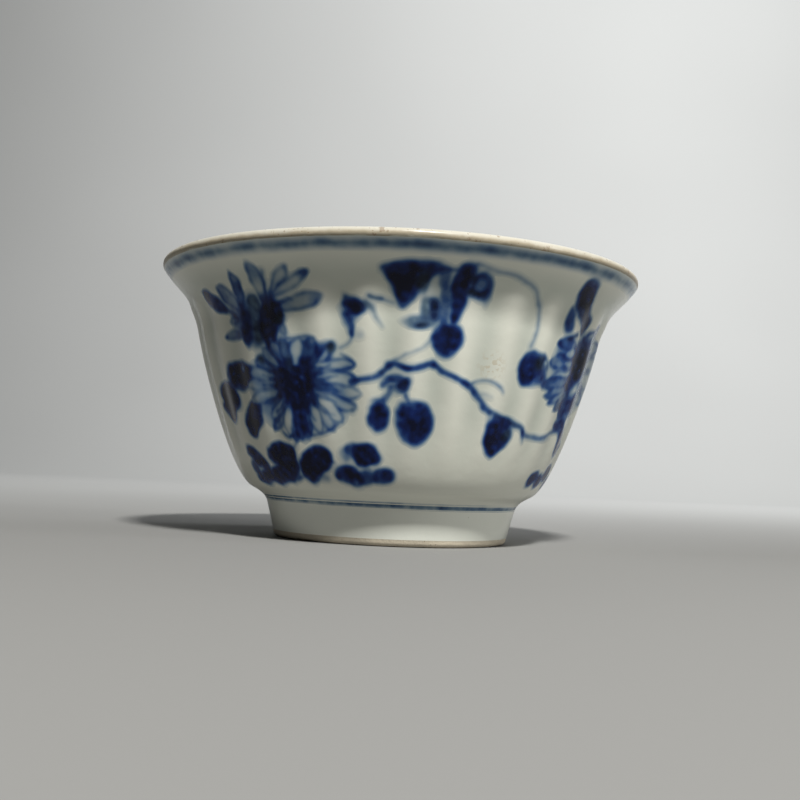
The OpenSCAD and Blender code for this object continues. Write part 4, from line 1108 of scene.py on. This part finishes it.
arc = lipArc(lipShape["radius"], lipShape["steps"])
arcBack = lipArc(lipShape["backRadius"], lipShape["backSteps"])
insideTop = [p for p in bowlLine(0) if lipShape["linerTop"] <= p[1] < arc[-1][1] - 0.05]
lipLow = lipShape["low"]
lipLoop = outlineBetween(0.02, lipLow, arc[0][1] - 0.08, 5) + arc + insideTop + [liner[0]]
lipLoop += [linerBack[0]] + arcBack[::-1] + [(radiusAt(lipLow, 0.4), lipLow)]
lip = lathe("lipDressing", lipLoop, 720, lipBrown)
applyTree(lip, speckTree, {
    "Density": 620000.0, "Seed": 11, "Low": 41.2 * mm, "High": 42.3 * mm, "Smallest": 0.03 * mm,
    "Largest": 0.1 * mm, "Flatness": 0.12, "Grain": gritMaterial})
hand(lip, "lip_dressing", 60)

footH, footRound = shape["footH"], shape["footRound"]
bareTop = footRound + 0.3
bareStep = 0.05    # the paste steps in under the glaze


def footRadius(z):
    t = (z - footRound) / (footH - footRound)
    return shape["footLowD"] / 2 * (1 - t) + shape["footTopD"] / 2 * t


def footCorner(radius, way):
    # one rounded corner of the resting edge, a little off the floor
    return [(radius + way * footRound * math.sin(a), footRound + bareStep - footRound * math.cos(a))
            for a in np.linspace(0, math.pi / 2, 9)]


restIn = shape["footLowD"] / 2 - footRound - shape["footRestW"]
recessLow = restIn - footRound
recessTop = recessLow - shape["recessDraft"]
recessBack = shape["recessH"] + coatT
pasteTop = footTop[0] - coatT
footLoop = footCorner(restIn, -1)[::-1] + footCorner(shape["footLowD"] / 2 - footRound, 1) + [
    (footRadius(bareTop), bareTop), (footRadius(bareTop) - coatT, bareTop + bareStep), (pasteTop, footH),
    (pasteTop, recessBack), (recessTop + coatT, recessBack), (recessLow + coatT, bareTop + bareStep),
    (recessLow, bareTop)]
foot = lathe("footRing", footLoop, 480, pasteBare)
applyTree(foot, speckTree, {
    "Density": 900000.0, "Seed": 5, "Low": -1.0 * mm, "High": 0.12 * mm, "Smallest": 0.02 * mm,
    "Largest": 0.11 * mm, "Flatness": 0.4, "Grain": gritMaterial})
hand(foot, "foot_ring", 60)

footGlazeLoop = [(footRadius(z), z) for z in np.linspace(bareTop, footH, 14)]
footGlazeLoop += outlineBetween(0.0, footH + 0.1, shape["footLineLow"], 4)
footGlazeLoop += [(pasteTop, shape["footLineLow"]), (pasteTop, footH), (footRadius(bareTop) - coatT, bareTop)]
hand(lathe("footGlaze", footGlazeLoop, 480, glazeFootLit), "foot_glaze", 60)

hollow = dict(top=shape["recessH"], sag=0.06, bend=0.9)
bendIn = recessTop - hollow["bend"]
bendLow = hollow["top"] - hollow["sag"] - hollow["bend"]
ceiling = [(0, hollow["top"])]
ceiling += [(r, hollow["top"] - hollow["sag"] * (r / recessTop) ** 2) for r in np.linspace(1.5, bendIn, 10)]
bend = [(bendIn + hollow["bend"] * math.sin(a), bendLow + hollow["bend"] * math.cos(a))
        for a in np.linspace(0.2, 1.3, 6)]
recessLoop = ceiling + bend + [
    (recessLow, bareTop), (recessLow + coatT, bareTop), (recessTop + coatT, recessBack), (0, recessBack)]
hand(lathe("recessGlaze", recessLoop, 360, glazeFootLit), "recess_glaze")

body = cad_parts["bowl_body"]
body.data.materials.clear()
body.data.materials.append(pasteBody)
print("plain parts made")


# stage, light and camera
stageShape = dict(front=-0.9, back=0.42, curve=0.35, wall=1.6, half=1.6, steps=24)


def makeStage():
    m, t = newMaterial("backdropPaper")
    at = addNode(t, "ShaderNodeTexCoord").outputs["Object"]
    colour = ramp(t, noise(t, at, 3, 2), [(0.3, (0.215, 0.215, 0.21)), (0.7, (0.235, 0.235, 0.23))])
    surface(t, colour, 0.85, 0.0)
    back, curve, half = stageShape["back"], stageShape["curve"], stageShape["half"] / mm
    sweep = [(stageShape["front"], 0), (back, 0)]
    sweep += [(back + curve * math.sin(a), curve - curve * math.cos(a))
              for a in np.linspace(0.05, math.pi / 2, stageShape["steps"])]
    sweep += [(back + curve, stageShape["wall"])]
    points, faces = [], []
    for y, z in sweep:
        points += [(-half, y / mm, z / mm), (half, y / mm, z / mm)]
    for i in range(len(sweep) - 1):
        faces += [2 * i, 2 * i + 1, 2 * i + 3, 2 * i + 2]
    me = meshFrom("floor", points, faces, np.full(len(sweep) - 1, 4))
    floor = addObject("floor", me, m)
    smooth(floor)


cupMiddle = (0, 0, 0.022)


def fromAround(azimuth, elevation, far):
    a, e = math.radians(azimuth), math.radians(elevation)
    level = far * math.cos(e)
    return (level * math.sin(a), -level * math.cos(a), cupMiddle[2] + far * math.sin(e))


def areaLight(name, stand, target, size, power, colour):
    data = bpy.data.lights.new(name, "AREA")
    data.shape = "RECTANGLE"
    data.size, data.size_y = size
    data.energy = power
    data.color = colour
    obj = bpy.data.objects.new(name, data)
    obj.location = stand
    obj.rotation_euler = (Vector(target) - Vector(stand)).to_track_quat("-Z", "Y").to_euler()
    bpy.context.scene.collection.objects.link(obj)


makeStage()
lights = [
    dict(name="key", stand=fromAround(14, 51.5, 0.7), target=cupMiddle, size=(0.07, 0.07),
         power=7.4, colour=(1, 0.985, 0.95)),
    dict(name="side", stand=fromAround(74, 20, 0.6), target=cupMiddle, size=(0.12, 0.3),
         power=0.9, colour=(1, 0.99, 0.97)),
    dict(name="backdrop", stand=(0.24, 0.2, 0.5), target=(0.12, 0.8, 0.3), size=(0.6, 0.3),
         power=11.5, colour=(0.97, 0.99, 1))]
for light in lights:
    areaLight(**light)
world = bpy.data.worlds.new("room")
world.use_nodes = True
wt = world.node_tree
# the empty room shows as pale paper, yet lights the cup only faintly
room = dict(faint=(0.82, 0.86, 0.9, 1), strength=0.03, paper=(0.55, 0.55, 0.54, 1))
dim = wt.nodes["Background"]
dim.inputs[0].default_value = room["faint"]
dim.inputs[1].default_value = room["strength"]
pale = addNode(wt, "ShaderNodeBackground")
pale.inputs[0].default_value = room["paper"]
seen = addNode(wt, "ShaderNodeLightPath")
pick = addNode(wt, "ShaderNodeMixShader")
wt.links.new(seen.outputs["Is Camera Ray"], pick.inputs[0])
wt.links.new(dim.outputs[0], pick.inputs[1])
wt.links.new(pale.outputs[0], pick.inputs[2])
wt.links.new(pick.outputs[0], wt.nodes["World Output"].inputs[0])
bpy.context.scene.world = world
bpy.context.scene.view_settings.view_transform = "Standard"

view = dict(stand=(0, -0.175, 0.01115), yaw=-0.24, pitch=3.70, roll=-2.48, lens=48.6)
camera = bpy.data.objects.new("camera", bpy.data.cameras.new("camera"))
bpy.context.scene.collection.objects.link(camera)
camera.data.sensor_width = 36
camera.data.lens = view["lens"]
camera.data.clip_start = 0.01
camera.location = view["stand"]
turned = Matrix.Rotation(math.radians(view["yaw"]), 4, "Z")
turned = turned @ Matrix.Rotation(math.radians(view["pitch"]), 4, "X")
turned = turned @ Matrix.Rotation(math.radians(view["roll"]), 4, "Y")
turned = turned @ Matrix.Rotation(math.pi / 2, 4, "X")
camera.rotation_mode = "QUATERNION"
camera.rotation_quaternion = turned.to_quaternion()
bpy.context.scene.camera = camera
print("stage set")
